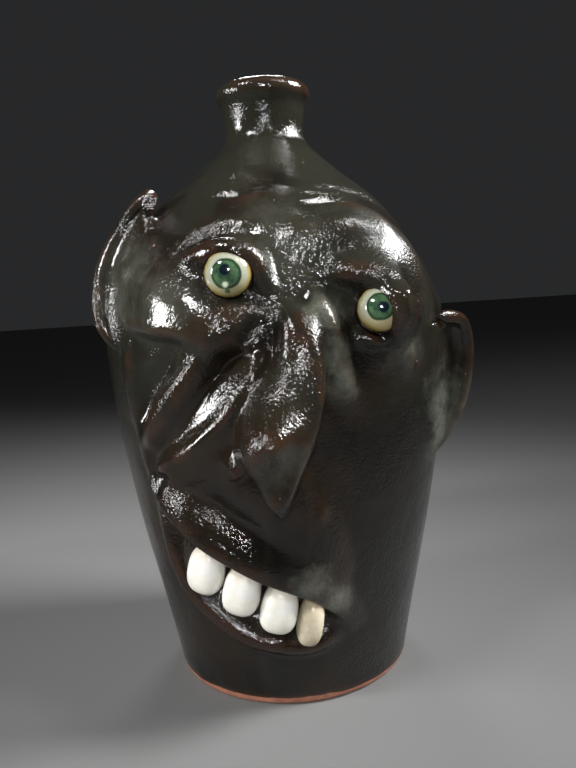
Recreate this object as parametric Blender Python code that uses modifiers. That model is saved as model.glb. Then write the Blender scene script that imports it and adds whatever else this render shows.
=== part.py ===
# Stoneware face jug: a hollow turned bottle with a carved face, two ball eyes and four teeth.
# The origin is the middle of the underside, +Z is up and the face looks along -Y.
import math

import bpy
import numpy as np

# Turned body, metres
JUG_HEIGHT = 0.240
FOOT_RADIUS = 0.0495
BELLY_RADIUS = 0.0702
NECK_RADIUS = 0.0158         # at the waist of the neck
LIP_RADIUS = 0.0192
LIP_ROUND = 0.0042           # half height of the rolled lip
FOOT_ROUND = 0.0022
WALL = 0.0075
NECK_WALL = 0.0058
FLOOR = 0.0090
FLOOR_CORNER = 0.0060        # radius of the corner between floor and wall
FLOOR_CHAMFER = 0.0018
BORE_FLARE = 0.0012          # the bore opens a little at the lip
BORE_LEAD = 0.0018

# Inserts
FIT_GAP = 0.0003
EYE_DIAMETER = 0.0168
EYE_SINK = 0.0050            # how far the ball enters the wall
TOOTH_WIDTH = 0.0138
TOOTH_LENGTH = 0.0190
TOOTH_DEPTH = 0.0120
TOOTH_SINK = 0.0030
TOOTH_GAP = 0.0006
LAST_TOOTH_SHARE = 0.68      # the fourth tooth is smaller
EAR_THICKNESS = 0.0050

# Heights along the jug, as shares of its height
BELLY_LEVEL = 0.625
NECK_LEVEL = 0.917
SHOULDER = [(0.0, 0.0), (0.31, 0.135), (0.57, 0.39), (0.75, 0.68), (0.88, 0.885),
            (0.95, 0.975), (1.0, 1.0)]

# The carving is measured in units of 1/240 of the jug's height, and in degrees round from the front
UNIT = JUG_HEIGHT / 240.0

EYES = {"left_eye": (-19.8, 165.3), "right_eye": (20.6, 150.5)}
FIRST_TOOTH = (-36.2, 60.3)
ROW_SLOPE = 28.7             # the row of teeth falls to the right
TOOTH_LEAN = 12.0            # and each tooth leans back towards the left
TOOTH_SHARES = {"tooth_1": 1.0, "tooth_2": 1.0, "tooth_3": 1.0, "tooth_4": LAST_TOOTH_SHARE}

# Each stroke: softness, skew to one side, and points of (degrees, height, half width, rise)
STROKES = {
    "skull_dent": (2.0, 0.0, [(60, 200, 30, -1), (72, 175, 38, -3.4), (80, 150, 34, -1.6)]),
    "forehead_groove": (1.5, 0.0, [(-27.5, 204, 3, 0), (-11, 199.5, 3.5, -0.9), (7.5, 195, 3.5, -1.1),
                                   (31, 193, 3.5, -1.2), (50, 191, 3.5, -1.1), (59, 183.5, 3, 0)]),
    "forehead_fold": (1.2, 0.0, [(-41, 190.5, 4, 0), (-32, 191, 4.5, 0.8), (-18.5, 189.5, 4.5, 1.3),
                                 (-9.5, 191.5, 4.5, 1.2), (0.5, 189, 4.5, 1), (7, 184.5, 4.5, 1),
                                 (17.5, 183, 5, 1.2), (24, 181, 5, 1.4), (28, 177, 5, 1.2),
                                 (31.5, 171.5, 4, 0)]),
    "forehead_crease": (1.3, 0.0, [(-26.5, 185, 2.5, 0), (-16, 185, 2.8, -0.6), (-2, 187.5, 2.8, -0.8),
                                   (5.5, 183, 3, -0.9), (16.5, 181.5, 3, -1), (23.5, 179, 3, -0.9),
                                   (29, 172.5, 2.5, 0)]),
    "temple": (1.6, 0.0, [(12, 184, 9, 0), (27, 180, 12, 3.4), (36, 172, 12, 4.4), (39, 160, 11, 4),
                          (39, 148, 8, 0)]),
    "left_brow_mass": (1.8, 0.0, [(-47, 174, 12, 0.8), (-31, 181, 14, 1.6), (-15, 185, 14, 2),
                                  (-1, 182, 14, 1.6)]),
    "left_brow_groove": (1.3, 0.0, [(-35, 173.5, 2.5, 0), (-32, 176.5, 3, -1.2), (-27, 178.5, 3, -1.6),
                                    (-20.5, 179.5, 3, -1.6), (-14.5, 178.5, 3, -1.2),
                                    (-10.5, 176.5, 2.5, 0)]),
    "left_lid_crease": (1.2, 0.0, [(-27, 176.5, 1.3, 0), (-21.5, 177.5, 1.5, -0.6),
                                   (-15.5, 176.5, 1.5, -0.5), (-12.5, 174.5, 1.2, 0)]),
    "left_lid": (0.9, 0.2, [(-40, 169, 3, 0), (-37, 170, 3, 3), (-33.5, 170.5, 4, 6),
                            (-29, 171, 5.5, 8.8), (-24.5, 171.5, 7, 11.2), (-20, 171.5, 7.2, 12.4),
                            (-15.5, 170, 7, 11.4), (-13, 168.5, 6, 9), (-11.5, 166, 5, 7),
                            (-10.5, 162.5, 4, 4.5), (-7.5, 158.5, 3, 0)]),
    "left_cheek": (0.8, -0.42, [(-63.5, 154, 6, 1.5), (-50, 151, 9, 4.2), (-41.5, 150, 11, 6.2),
                                (-35, 149.5, 11.5, 7), (-29.5, 147, 11.5, 7.2), (-24.5, 144.5, 11, 7),
                                (-21, 144, 10, 6), (-17.5, 144, 7, 3.5), (-15, 145, 5, 0)]),
    "left_cheek_plane": (1.0, 0.0, [(-58.5, 163, 9, 3), (-43, 161, 11, 5.8), (-32.5, 159, 11, 6.6),
                                    (-26, 153.5, 10, 6), (-20.5, 149, 7, 4)]),
    "right_brow_mass": (1.8, 0.0, [(4, 178, 14, 4.5), (19, 178, 16, 8), (31, 168, 15, 7.5),
                                   (37, 152, 12, 3)]),
    "right_brow_fold": (1.2, 0.0, [(15, 172, 2.5, 0), (19, 170.5, 2.8, 1.2), (24, 168.5, 3, 1.6),
                                   (29, 164.5, 3, 1.6), (33, 159.5, 2.5, 0)]),
    "right_lid": (0.65, 0.0, [(7.5, 165.5, 4, 0), (10.5, 164.5, 5, 6), (15, 164, 6.5, 9.5),
                              (19.5, 163, 8, 12), (23, 159, 8.5, 13), (25, 153, 8, 13), (29, 149, 6, 5),
                              (30, 143, 4, 0)]),
    "right_lid_side": (0.25, 0.0, [(23.5, 158.5, 5, 7), (24, 154, 6.6, 13.6), (25, 150, 7, 14.6),
                                   (26.5, 147.5, 9, 13.5), (28.5, 141.5, 6.5, 8), (30.5, 138, 4, 3),
                                   (30, 137.5, 3, 0)]),
    "right_socket": (1.6, 0.0, [(24, 139, 12, 2.5), (30, 143, 12, 3)]),
    "right_lower_lid": (1.2, 0.0, [(14.5, 145.5, 2.5, 0), (15.5, 142.5, 3, 4.2), (18.5, 140.5, 3.2, 6),
                                   (22, 140.5, 3.2, 5.6), (23, 143, 3, 4), (27, 145, 2, 0)]),
    "nose": (0.42, 0.0, [(-1.5, 155, 5, 0), (-2, 149, 6.3, 7), (-2, 142.5, 7.2, 10.5),
                         (-2.5, 135, 8.3, 13), (-4, 129, 9.6, 16), (-6, 124, 10.8, 18.5),
                         (-7.5, 120.5, 11.5, 20.5), (-9, 115, 10.5, 22.5), (-9.5, 110.5, 8.3, 24),
                         (-9.5, 105, 6, 24.5), (-9, 98.5, 3.5, 21)]),
    "nostril": (0.5, 0.0, [(-6.5, 121.5, 6, 14), (-10, 121.5, 6.5, 20), (-13.5, 119, 6, 18.5),
                           (-16.5, 112, 4.5, 14), (-19, 104.5, 3, 7)]),
    "nostril_ridge": (1.0, 0.0, [(-16.5, 116, 2.5, 0.8), (-13.5, 120.5, 3, 1.8), (-11, 122.5, 3.2, 2),
                                 (-7.5, 123, 3, 1.5), (-4.5, 124.5, 2.5, 0)]),
    "nose_rim": (1.0, 0.0, [(0, 149, 2, 0), (1, 144, 2.6, 1), (1.5, 138, 3, 1.5), (1.5, 131, 3, 1.6),
                            (0.5, 125, 3, 1.6), (-1.5, 119, 3, 1.6), (-4, 113.5, 3, 1.4),
                            (-6.5, 107.5, 2.6, 1), (-8.5, 102, 2, 0)]),
    "nostril_bump": (1.0, 0.0, [(-21.5, 106.5, 3.2, 2.6), (-21, 103.5, 3.2, 2.6)]),
    "ribbon": (0.7, 0.0, [(4.5, 160, 3, 0), (4, 154, 4, 4.2), (5.5, 147.5, 5, 6), (7.5, 139, 5.6, 6),
                          (9, 130.5, 5.6, 4.8), (11, 123.5, 5, 2.6), (13, 115.5, 4, 0)]),
    "cheek_hollow": (1.4, 0.0, [(-26, 143, 3, 0), (-31.5, 139.5, 5, -1.5), (-45, 130, 7, -2.5),
                                (-54, 121, 7, -2.5), (-57, 112, 5, -1.5), (-59, 104, 4, 0)]),
    "cheek_flap": (1.0, 0.0, [(-23.5, 147, 6, 3), (-26.5, 142.5, 7.5, 5.5), (-30, 137, 8.5, 7.5),
                              (-34.5, 129, 9, 8.2), (-40.5, 120, 9, 8), (-46.5, 111.5, 8.5, 6.8),
                              (-51.5, 105.5, 7, 3.8), (-54.5, 98, 5, 0)]),
    "fold_groove": (1.3, 0.0, [(-11.5, 144, 2.5, 0), (-14.5, 139.5, 3, -0.8), (-18, 133.5, 3.4, -1.2),
                               (-22, 126.5, 3.4, -1.4), (-27.5, 119, 3.4, -1.4), (-36, 111.5, 3, -1.2),
                               (-48, 104.5, 2.5, -0.8), (-52.5, 102, 2.5, 0)]),
    "muzzle_plane": (0.55, 0.0, [(-9.5, 143, 2.5, 0), (-12, 139.5, 3, 2), (-13.5, 136, 5, 5),
                                 (-16, 130.5, 7, 7), (-19.5, 124.5, 9, 7.8), (-23.5, 117.5, 10, 8),
                                 (-29, 111, 10, 7.8), (-35.5, 105, 9, 7), (-43.5, 98, 7, 5),
                                 (-44.5, 96.5, 5, 2.5), (-47.5, 92, 4, 0)]),
    "muzzle_edge": (1.2, 0.0, [(-11.5, 142, 3, 0), (-13, 137, 3.2, 0.9), (-15.5, 131.5, 3.4, 1.5),
                               (-19, 125.5, 3.4, 1.7), (-23.5, 119.5, 3.4, 1.7), (-28.5, 114, 3.4, 1.7),
                               (-35, 108, 3.4, 1.6), (-42.5, 102.5, 3, 1.2), (-51, 96, 2.6, 0.7),
                               (-50, 93, 2, 0)]),
    "muzzle": (1.2, 0.0, [(-36, 94, 12, 4.5), (-26.5, 100.5, 16, 7.2), (-16, 94.5, 18, 7.8),
                          (-4.5, 77.5, 15, 6), (5, 59, 11, 3)]),
    "upper_lip": (0.9, -0.52, [(-51, 96, 4, 0), (-50.5, 88.5, 6, 4.8), (-45, 85, 7.5, 7.6),
                               (-39, 82.5, 8.5, 9.2), (-33, 77.5, 9, 9.8), (-23.5, 71, 9, 10),
                               (-14.5, 65, 9, 9.8), (-4, 57, 8.5, 8.2), (2.5, 50, 7.5, 6),
                               (8, 42.5, 6, 3.8), (14, 34.5, 5, 1.4), (16, 29.5, 4, 0)]),
    "lip_scratch": (1.2, 0.0, [(-30.5, 83.5, 1.3, 0), (-26, 79, 1.6, -0.8), (-20.5, 75, 1.3, 0)]),
    "mouth": (1.2, 0.0, [(-47, 80, 4, 0), (-43, 67, 6.5, -2.5), (-33, 55, 9, -3.5), (-20, 45, 9, -3.5),
                         (-6, 38, 8, -3.5), (3, 36, 6, -2), (8, 37, 4, 0)]),
    "lower_lip": (1.1, 0.0, [(-52.5, 86, 4, 0), (-52, 77.5, 5, 2.8), (-50.5, 67, 5.5, 4.2),
                             (-47, 54, 6, 5), (-38.5, 43, 6, 5.4), (-27, 34, 6, 5.4),
                             (-16, 30.5, 6, 5.2), (-4.5, 28, 5.5, 4.2), (4.5, 29, 5, 2.6),
                             (11.5, 32.5, 4, 0)]),
    "right_cheekbone": (1.1, 0.0, [(22, 137, 4, 0), (27, 136, 6, 3), (32, 133, 6.5, 3.5),
                                   (37, 127, 4, 0)]),
    "small_bump": (1.2, 0.0, [(2.5, 84.5, 2.4, 1.2), (3.5, 83, 2.4, 1.2)]),
    "left_ear_front": (1.4, 0.0, [(-53, 158, 6, 0), (-53.5, 150, 6.5, 1.6), (-55.5, 139, 7, 2.6),
                                  (-57, 129.5, 6.5, 3), (-57, 117, 6, 3.2), (-55.5, 106.5, 5.5, 3),
                                  (-54.5, 96, 4.5, 2.4), (-53.5, 87, 4, 0)]),
    "right_ear_front": (1.3, 0.0, [(42, 150, 4, 0), (45, 139, 5, 2), (49, 120, 7, 1.2),
                                   (53, 100, 6, 0)]),
}

# Tool marks add to the clay under them; the other strokes are lumps that merge where they meet
TOOL_MARKS = ["skull_dent", "forehead_groove", "forehead_fold", "forehead_crease", "left_brow_groove",
              "left_lid_crease", "right_brow_fold", "nostril_ridge", "nose_rim", "nostril_bump",
              "cheek_hollow", "fold_groove", "muzzle_edge", "lip_scratch", "mouth", "small_bump"]
MERGE_SHARPNESS = 2.5

# Places where high relief sags: degrees, height, reach, share downwards, share to the left
SAGS = [(-9, 110, 21, 0.36, 0), (-22, 179, 16, 0.22, 0), (-32, 156, 13, 0.3, 0),
        (18, 170, 16, 0.33, 0), (32, 152, 12, 0.05, 0.45), (-32, 84, 20, 0.4, 0),
        (-10, 68, 19, 0.42, 0.05), (6, 50, 14, 0.26, 0.2)]

# Ear edges: degrees, height, stand-off from the skin. The hollow lies between them
EARS = {
    "left_ear": {
        "front": [(-57, 139, -1.5), (-57, 148, -1.5), (-55.5, 158, -1.5), (-54.5, 168, -1.5),
                  (-56, 177, -1.0), (-59.5, 185, 2.0), (-60.5, 191, 7.5), (-60, 196, 12.5)],
        "rim": [(-62, 138.5, -1.0), (-64, 144.5, 4.0), (-67, 154.5, 8.0), (-69, 165, 9.5),
                (-71, 176, 10.5), (-72, 186, 11.5), (-68, 193, 13.0), (-61, 196.5, 13.2)],
        "hollow": (-74, -1.0)},
    "right_ear": {
        "front": [(52, 89, -1.5), (49, 98, -1.5), (48, 108, -1.5), (47.5, 118, -1.5),
                  (47, 127, -1.5), (46.5, 134, -1.5), (45, 139.5, -0.5), (43, 143, 1.5)],
        "rim": [(57, 88.5, -1.0), (59.5, 97.5, 4.5), (60.5, 107, 8.5), (61.5, 116.5, 10.6),
                (62, 126.5, 11.4), (61, 136, 11.0), (56, 144, 9.0), (46.5, 146.8, 4.5)],
        "hollow": (68, -1.5)},
}

CARVED_BAND = (0.02, 0.90)   # shares of the height that hold the carving
NORMAL_STEP = 0.0012         # reach over which the wall's slope is read
FLAT_FOOT = 0.0002           # points lower than this belong to the flat underside
CUT_OVER = 0.004             # how far a cutter stands out of what it cuts
BODY_STEPS = 252
BODY_TRIANGLES = 5500
CAVITY_STEPS = 28
BALL_STEPS = 20


def catmull(points, per_span):
    """Smooth curve through a list of points of any dimension."""
    pts = np.asarray(points, dtype=float)
    ext = np.vstack([2 * pts[0] - pts[1], pts, 2 * pts[-1] - pts[-2]])
    out = []
    for i in range(len(pts) - 1):
        a, b, c, d = ext[i:i + 4]
        for t in np.arange(per_span) / per_span:
            out.append(0.5 * (2 * b + (c - a) * t + (2 * a - 5 * b + 4 * c - d) * t * t
                              + (3 * b - a - 3 * c + d) * t ** 3))
    out.append(pts[-1])
    return np.array(out)


def body_profile():
    """Outer profile from the middle of the rim down to the middle of the underside."""
    neck_z = NECK_LEVEL * JUG_HEIGHT
    belly_z = BELLY_LEVEL * JUG_HEIGHT
    lip_z = JUG_HEIGHT - LIP_ROUND
    lip_centre = LIP_RADIUS - LIP_ROUND
    pts = [(0.0, JUG_HEIGHT), (lip_centre * 0.55, JUG_HEIGHT)]
    for a in np.linspace(90, -62, 9):
        c, s = math.cos(math.radians(a)), math.sin(math.radians(a))
        pts.append((lip_centre + LIP_ROUND * c, lip_z + LIP_ROUND * s))
    start_r, start_z = pts[-1]
    for t in np.linspace(0, 1, 6)[1:]:
        pts.append((start_r + (NECK_RADIUS - start_r) * math.sin(t * math.pi / 2),
                    start_z + (neck_z - start_z) * t))
    drop = catmull(SHOULDER, 8)
    for u, share in drop[::-1][1:]:
        pts.append((BELLY_RADIUS + (NECK_RADIUS - BELLY_RADIUS) * share,
                    belly_z + (neck_z - belly_z) * u))
    for z in np.linspace(belly_z, FOOT_ROUND, 84)[1:]:
        rise = math.sin(math.pi / 2 * (z / belly_z) ** 1.1)
        pts.append((FOOT_RADIUS + (BELLY_RADIUS - FOOT_RADIUS) * rise, z))
    foot_r = pts[-1][0]
    for a in (30, 60, 90):
        c, s = math.cos(math.radians(a)), math.sin(math.radians(a))
        pts.append((foot_r - FOOT_ROUND * (1 - c), FOOT_ROUND * (1 - s)))
    pts.append((foot_r * 0.5, 0.0))
    pts.append((0.0, 0.0))
    return np.array(pts)


PROFILE = body_profile()
WALL_ROWS = PROFILE[10:-2][::-1]      # from the foot edge up to the lip
WALL_Z = WALL_ROWS[:, 1] + np.arange(len(WALL_ROWS)) * 1e-9
ARC = np.concatenate([[0.0], np.cumsum(np.hypot(np.diff(WALL_ROWS[:, 0]),
                                                np.diff(WALL_ROWS[:, 1])))])


def skin_radius(z):
    """Radius of the plain turned wall at a height."""
    return np.interp(z, WALL_Z, WALL_ROWS[:, 0])


def skin_arc(z):
    """Length along the wall from the foot up to a height."""
    return np.interp(z, WALL_Z, ARC)


def skin_normal(z):
    """Outward direction of the wall at a height, as radial and upward shares."""
    dr = skin_radius(z + NORMAL_STEP) - skin_radius(z - NORMAL_STEP)
    length = np.hypot(dr, 2 * NORMAL_STEP)
    return 2 * NORMAL_STEP / length, -dr / length


def stroke_rise(lon, arc, radius, stroke):
    """Rise of one stroke at points given by longitude, arc length and radius."""
    soft, skew, points = stroke
    line = catmull(points, 6)
    line_arc = skin_arc(line[:, 1] * UNIT)
    best = np.full(lon.shape, 9.0)
    rise = np.zeros(lon.shape)
    to_m = math.pi / 180 * radius
    for i in range(len(line) - 1):
        ax = (line[i, 0] - lon) * to_m
        ay = line_arc[i] - arc
        dx = (line[i + 1, 0] - line[i, 0]) * to_m
        dy = line_arc[i + 1] - line_arc[i]
        t = np.clip(-(ax * dx + ay * dy) / (dx * dx + dy * dy + 1e-12), 0, 1)
        nx, ny = ax + t * dx, ay + t * dy
        side = np.sign(dx * ny - dy * nx)
        width = (line[i, 2] + (line[i + 1, 2] - line[i, 2]) * t) * UNIT
        q = np.hypot(nx, ny) / (width * (1 + skew * side))
        near = q < best
        best[near] = q[near]
        rise[near] = (line[i, 3] + (line[i + 1, 3] - line[i, 3]) * t)[near]
    return rise * UNIT * np.clip(1 - best ** 2, 0, 1) ** soft


def relief(lon, z):
    """Rise of the whole carving, with the shares by which it sags down and to the left."""
    arc = skin_arc(z)
    radius = skin_radius(z)
    lumps = np.zeros(lon.shape)
    marks = np.zeros(lon.shape)
    for name, stroke in STROKES.items():
        part = stroke_rise(lon, arc, radius, stroke)
        if name in TOOL_MARKS:
            marks += part
        else:
            lumps += (part / UNIT) ** MERGE_SHARPNESS
    rise = UNIT * lumps ** (1 / MERGE_SHARPNESS) + marks
    down = np.zeros(lon.shape)
    left = np.zeros(lon.shape)
    for mid, level, reach, d, s in SAGS:
        u = (lon - mid) * math.pi / 180 * radius
        v = arc - skin_arc(level * UNIT)
        fall = np.exp(-(u * u + v * v) / (reach * UNIT) ** 2)
        down += d * fall
        left += s * fall
    return rise, down, left


def new_object(name, mesh, group):
    """Link a new object into a collection."""
    obj = bpy.data.objects.new(name, mesh)
    group.objects.link(obj)
    return obj


def mesh_from(name, verts, faces):
    """Mesh from arrays of vertices and faces."""
    mesh = bpy.data.meshes.new(name)
    mesh.from_pydata([tuple(map(float, v)) for v in verts], [], [tuple(map(int, f)) for f in faces])
    mesh.validate()
    return mesh


def bake(obj):
    """Replace an object's mesh by the mesh its modifiers give."""
    graph = bpy.context.evaluated_depsgraph_get()
    graph.update()
    mesh = bpy.data.meshes.new_from_object(obj.evaluated_get(graph))
    obj.modifiers.clear()
    old = obj.data
    obj.data = mesh
    bpy.data.meshes.remove(old)


def turned(name, profile, steps, group):
    """Turn a profile of radius and height, listed from top to bottom, into a closed body."""
    mesh = bpy.data.meshes.new(name)
    mesh.from_pydata([(float(r), 0.0, float(z)) for r, z in profile],
                     [(i, i + 1) for i in range(len(profile) - 1)], [])
    obj = new_object(name, mesh, group)
    screw = obj.modifiers.new("turn", "SCREW")
    screw.axis = "Z"
    screw.steps = steps
    screw.render_steps = steps
    screw.use_merge_vertices = True
    screw.merge_threshold = 0.00002
    return obj


def place(lon, z, off):
    """Point at a longitude and height, standing off the plain wall."""
    r = skin_radius(z) + off
    a = np.radians(lon)
    return np.stack([r * np.sin(a), -r * np.cos(a), z + 0 * a], -1)


def carve(mesh):
    """Press the face into the fine turned body."""
    co = np.empty(len(mesh.vertices) * 3)
    mesh.vertices.foreach_get("co", co)
    co = co.reshape(-1, 3)
    r = np.hypot(co[:, 0], co[:, 1])
    low, high = [share * JUG_HEIGHT for share in CARVED_BAND]
    live = (co[:, 2] > low) & (co[:, 2] < high) & (r > NECK_RADIUS)
    z = co[live, 2]
    a = np.arctan2(co[live, 0], -co[live, 1])
    rise, down, left = relief(np.degrees(a), z)
    nr, nz = skin_normal(z)
    out = np.stack([np.sin(a), -np.cos(a), 0 * a], -1)
    side = np.stack([np.cos(a), np.sin(a), 0 * a], -1)
    co[live] += out * (rise * nr)[:, None] - side * (rise * left)[:, None]
    co[live, 2] += rise * (nz - down)
    mesh.vertices.foreach_set("co", co.reshape(-1))
    mesh.update()


def ear_sheet(name, ear, group):
    """Cupped ear between its front edge on the head and its free rim."""
    front = catmull(ear["front"], 2)
    rim = catmull(ear["rim"], 2)
    hollow_lon, hollow_off = ear["hollow"]
    across = 8
    rows = len(front)
    verts = []
    for i in range(rows):
        depth = math.sin(math.pi * i / (rows - 1)) ** 0.5
        middle = (front[i] + rim[i]) / 2
        deep = np.array([hollow_lon, middle[1], hollow_off])
        knee = middle + (deep - middle) * depth
        for j in range(across):
            t = j / (across - 1)
            p = front[i] * (1 - t) ** 2 + 2 * knee * t * (1 - t) + rim[i] * t * t
            verts.append(place(p[0], p[1] * UNIT, p[2] * UNIT))
    faces = []
    for i in range(rows - 1):
        for j in range(across - 1):
            k = i * across + j
            faces.append((k, k + 1, k + across + 1, k + across))
    obj = new_object(name, mesh_from(name, verts, faces), group)
    thick = obj.modifiers.new("thickness", "SOLIDIFY")
    thick.thickness = EAR_THICKNESS
    thick.offset = 0.0
    soft = obj.modifiers.new("soft", "SUBSURF")
    soft.levels = 1
    soft.render_levels = 1
    return obj


def boolean(target, cutter, operation):
    """Add an exact Boolean to a piece."""
    mod = target.modifiers.new(cutter.name, "BOOLEAN")
    mod.operation = operation
    mod.solver = "EXACT"
    mod.object = cutter


def as_cutter(obj):
    """Keep a helper body out of the render."""
    obj.hide_render = True
    obj.display_type = "WIRE"


def ball(name, radius, group):
    """Round ball as a turned half circle."""
    half = BALL_STEPS // 2
    pts = [(radius * math.sin(math.pi * i / half), radius * math.cos(math.pi * i / half))
           for i in range(half + 1)]
    pts[0] = (0.0, radius)
    pts[-1] = (0.0, -radius)
    return turned(name, pts, BALL_STEPS, group)


def tooth_share(t):
    """Width of a tooth along its length, from -1 at the tip to 1 at the root."""
    return (1 - abs(t) ** 2.6) ** (1 / 2.6) * (1 - 0.10 * t)


def tooth_row():
    """Longitude and height of each tooth, spaced by the widths and the gap."""
    lon, z = FIRST_TOOTH
    before = None
    places = {}
    for name, share in TOOTH_SHARES.items():
        if before is not None:
            step = (TOOTH_WIDTH * (before + share) / 2 + TOOTH_GAP)
            step /= math.cos(math.radians(ROW_SLOPE - TOOTH_LEAN))
            level = z * UNIT
            reach = float(skin_radius(level)) + TOOTH_DEPTH / 2 - TOOTH_SINK
            lon += math.degrees(step * math.cos(math.radians(ROW_SLOPE)) / reach)
            z -= step * math.sin(math.radians(ROW_SLOPE)) / UNIT
        places[name] = (lon, z)
        before = share
    return places


def tooth_body(name, width, length, depth, group):
    """Rounded tooth, a little narrower towards its root."""
    rings = 9
    around = 16
    widest = max(tooth_share(i / 20 - 1) for i in range(20))
    verts = [(0, 0, -length / 2)]
    for i in range(1, rings):
        t = -math.cos(math.pi * i / rings)
        size = (1 - abs(t) ** 2.6) ** (1 / 2.6)
        broad = tooth_share(t) / widest
        for j in range(around):
            a = 2 * math.pi * j / around
            c, s = math.cos(a), math.sin(a)
            x = math.copysign(abs(c) ** 0.8, c) * width / 2 * broad
            y = math.copysign(abs(s) ** 0.8, s) * depth / 2 * size
            verts.append((x, y, t * length / 2))
    verts.append((0, 0, length / 2))
    last = len(verts) - 1
    faces = []
    for j in range(around):
        k = (j + 1) % around
        faces.append((0, 1 + k, 1 + j))
        for i in range(rings - 2):
            a, b = 1 + i * around, 1 + (i + 1) * around
            faces.append((a + j, a + k, b + k, b + j))
        top = 1 + (rings - 2) * around
        faces.append((top + j, top + k, last))
    return new_object(name, mesh_from(name, verts, faces), group)


def cavity_profile():
    """Inside of the vessel, listed from above the rim down to the floor."""
    bore = NECK_RADIUS - NECK_WALL
    over = JUG_HEIGHT + CUT_OVER
    pts = [(0.0, over), (bore + BORE_FLARE, over),
           (bore + BORE_FLARE, JUG_HEIGHT), (bore, JUG_HEIGHT - BORE_LEAD),
           (bore, NECK_LEVEL * JUG_HEIGHT - 0.8 * WALL)]
    levels = np.linspace(NECK_LEVEL * JUG_HEIGHT, FLOOR + FLOOR_CORNER, 18)
    for z in levels:
        nr, nz = skin_normal(z)
        r = float(skin_radius(z) - WALL * nr)
        h = float(z - WALL * nz)
        if r > bore and h < pts[-1][1] - 0.002:
            pts.append((r, h))
    base = pts[-1][0]
    pts.append((base - FLOOR_CHAMFER, FLOOR + FLOOR_CHAMFER))
    pts.append((base - FLOOR_CORNER, FLOOR))
    pts.append((0.0, FLOOR))
    return pts


def material(name, colour, roughness):
    """Plain glazed material."""
    mat = bpy.data.materials.new(name)
    mat.use_nodes = True
    shader = mat.node_tree.nodes["Principled BSDF"]
    shader.inputs["Base Color"].default_value = (*colour, 1.0)
    shader.inputs["Roughness"].default_value = roughness
    mat.diffuse_color = (*colour, 1.0)
    return mat


def shade(obj, mat):
    """Give a piece its material and smooth faces."""
    obj.data.materials.clear()
    obj.data.materials.append(mat)
    obj.data.polygons.foreach_set("use_smooth", [True] * len(obj.data.polygons))


def aim(obj, lon, z, off, roll=0.0):
    """Stand a piece on the wall: its -Y side looks outward, and roll turns it about that line."""
    obj.location = place(lon, z, off)
    obj.rotation_mode = "XYZ"
    obj.rotation_euler = (0.0, math.radians(roll), math.radians(lon))


for old in list(bpy.data.objects):
    bpy.data.objects.remove(old, do_unlink=True)

parts = bpy.data.collections.new("face_jug")
cutters = bpy.data.collections.new("cutters")
bpy.context.scene.collection.children.link(parts)
bpy.context.scene.collection.children.link(cutters)

# Body with its face, thinned to a light faceted skin
jug = turned("jug", PROFILE, BODY_STEPS, parts)
bake(jug)
carve(jug.data)
for ear_name, ear in EARS.items():
    sheet = ear_sheet(ear_name, ear, cutters)
    as_cutter(sheet)
    boolean(jug, sheet, "UNION")
bake(jug)
thin = jug.modifiers.new("thin", "DECIMATE")
thin.ratio = BODY_TRIANGLES / (2 * len(jug.data.polygons))
bake(jug)
for ear_name in EARS:
    bpy.data.objects.remove(bpy.data.objects[ear_name], do_unlink=True)
for vert in jug.data.vertices:
    if vert.co.z < FLAT_FOOT:
        vert.co.z = 0.0

cavity = turned("cavity", cavity_profile(), CAVITY_STEPS, cutters)
as_cutter(cavity)
boolean(jug, cavity, "DIFFERENCE")

# Eyes and their sockets
clay_white = material("white_clay", (0.86, 0.84, 0.76), 0.25)
for name, (lon, level) in EYES.items():
    radius = EYE_DIAMETER / 2
    out = radius - EYE_SINK
    eye = ball(name, radius, parts)
    aim(eye, lon, level * UNIT, out)
    shade(eye, clay_white)
    socket = ball(name + "_socket", radius + FIT_GAP, cutters)
    aim(socket, lon, level * UNIT, out)
    as_cutter(socket)
    boolean(jug, socket, "DIFFERENCE")

# Teeth and their seats under the upper lip
for name, (lon, level) in tooth_row().items():
    out = TOOTH_DEPTH / 2 - TOOTH_SINK
    size = (TOOTH_WIDTH * TOOTH_SHARES[name], TOOTH_LENGTH, TOOTH_DEPTH)
    tooth = tooth_body(name, *size, parts)
    aim(tooth, lon, level * UNIT, out, TOOTH_LEAN)
    shade(tooth, clay_white)
    seat = tooth_body(name + "_seat", *[s + 2 * FIT_GAP for s in size], cutters)
    aim(seat, lon, level * UNIT, out, TOOTH_LEAN)
    as_cutter(seat)
    boolean(jug, seat, "DIFFERENCE")

shade(jug, material("dark_glaze", (0.022, 0.016, 0.012), 0.15))
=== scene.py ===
import math

import bpy
import bmesh
import numpy as np
from mathutils import Euler, Matrix, Vector, noise


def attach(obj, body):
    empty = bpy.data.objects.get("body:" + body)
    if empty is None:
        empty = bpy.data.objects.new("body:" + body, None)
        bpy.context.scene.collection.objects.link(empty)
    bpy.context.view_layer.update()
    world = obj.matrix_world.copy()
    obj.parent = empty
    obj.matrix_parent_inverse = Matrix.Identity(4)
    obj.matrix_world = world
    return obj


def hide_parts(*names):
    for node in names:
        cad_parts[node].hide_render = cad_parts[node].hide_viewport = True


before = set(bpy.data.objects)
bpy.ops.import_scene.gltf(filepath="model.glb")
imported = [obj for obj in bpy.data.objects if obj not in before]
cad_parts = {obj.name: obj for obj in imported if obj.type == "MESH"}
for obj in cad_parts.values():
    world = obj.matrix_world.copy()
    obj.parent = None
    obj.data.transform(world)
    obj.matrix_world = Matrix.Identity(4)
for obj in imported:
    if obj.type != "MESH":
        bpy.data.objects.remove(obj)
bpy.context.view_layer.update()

# A thrown stoneware jug with a carved face, two ball eyes, four teeth and a dark running glaze.
# Lengths are in metres, the face looks along -Y, and degrees run from the front towards +X.

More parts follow.
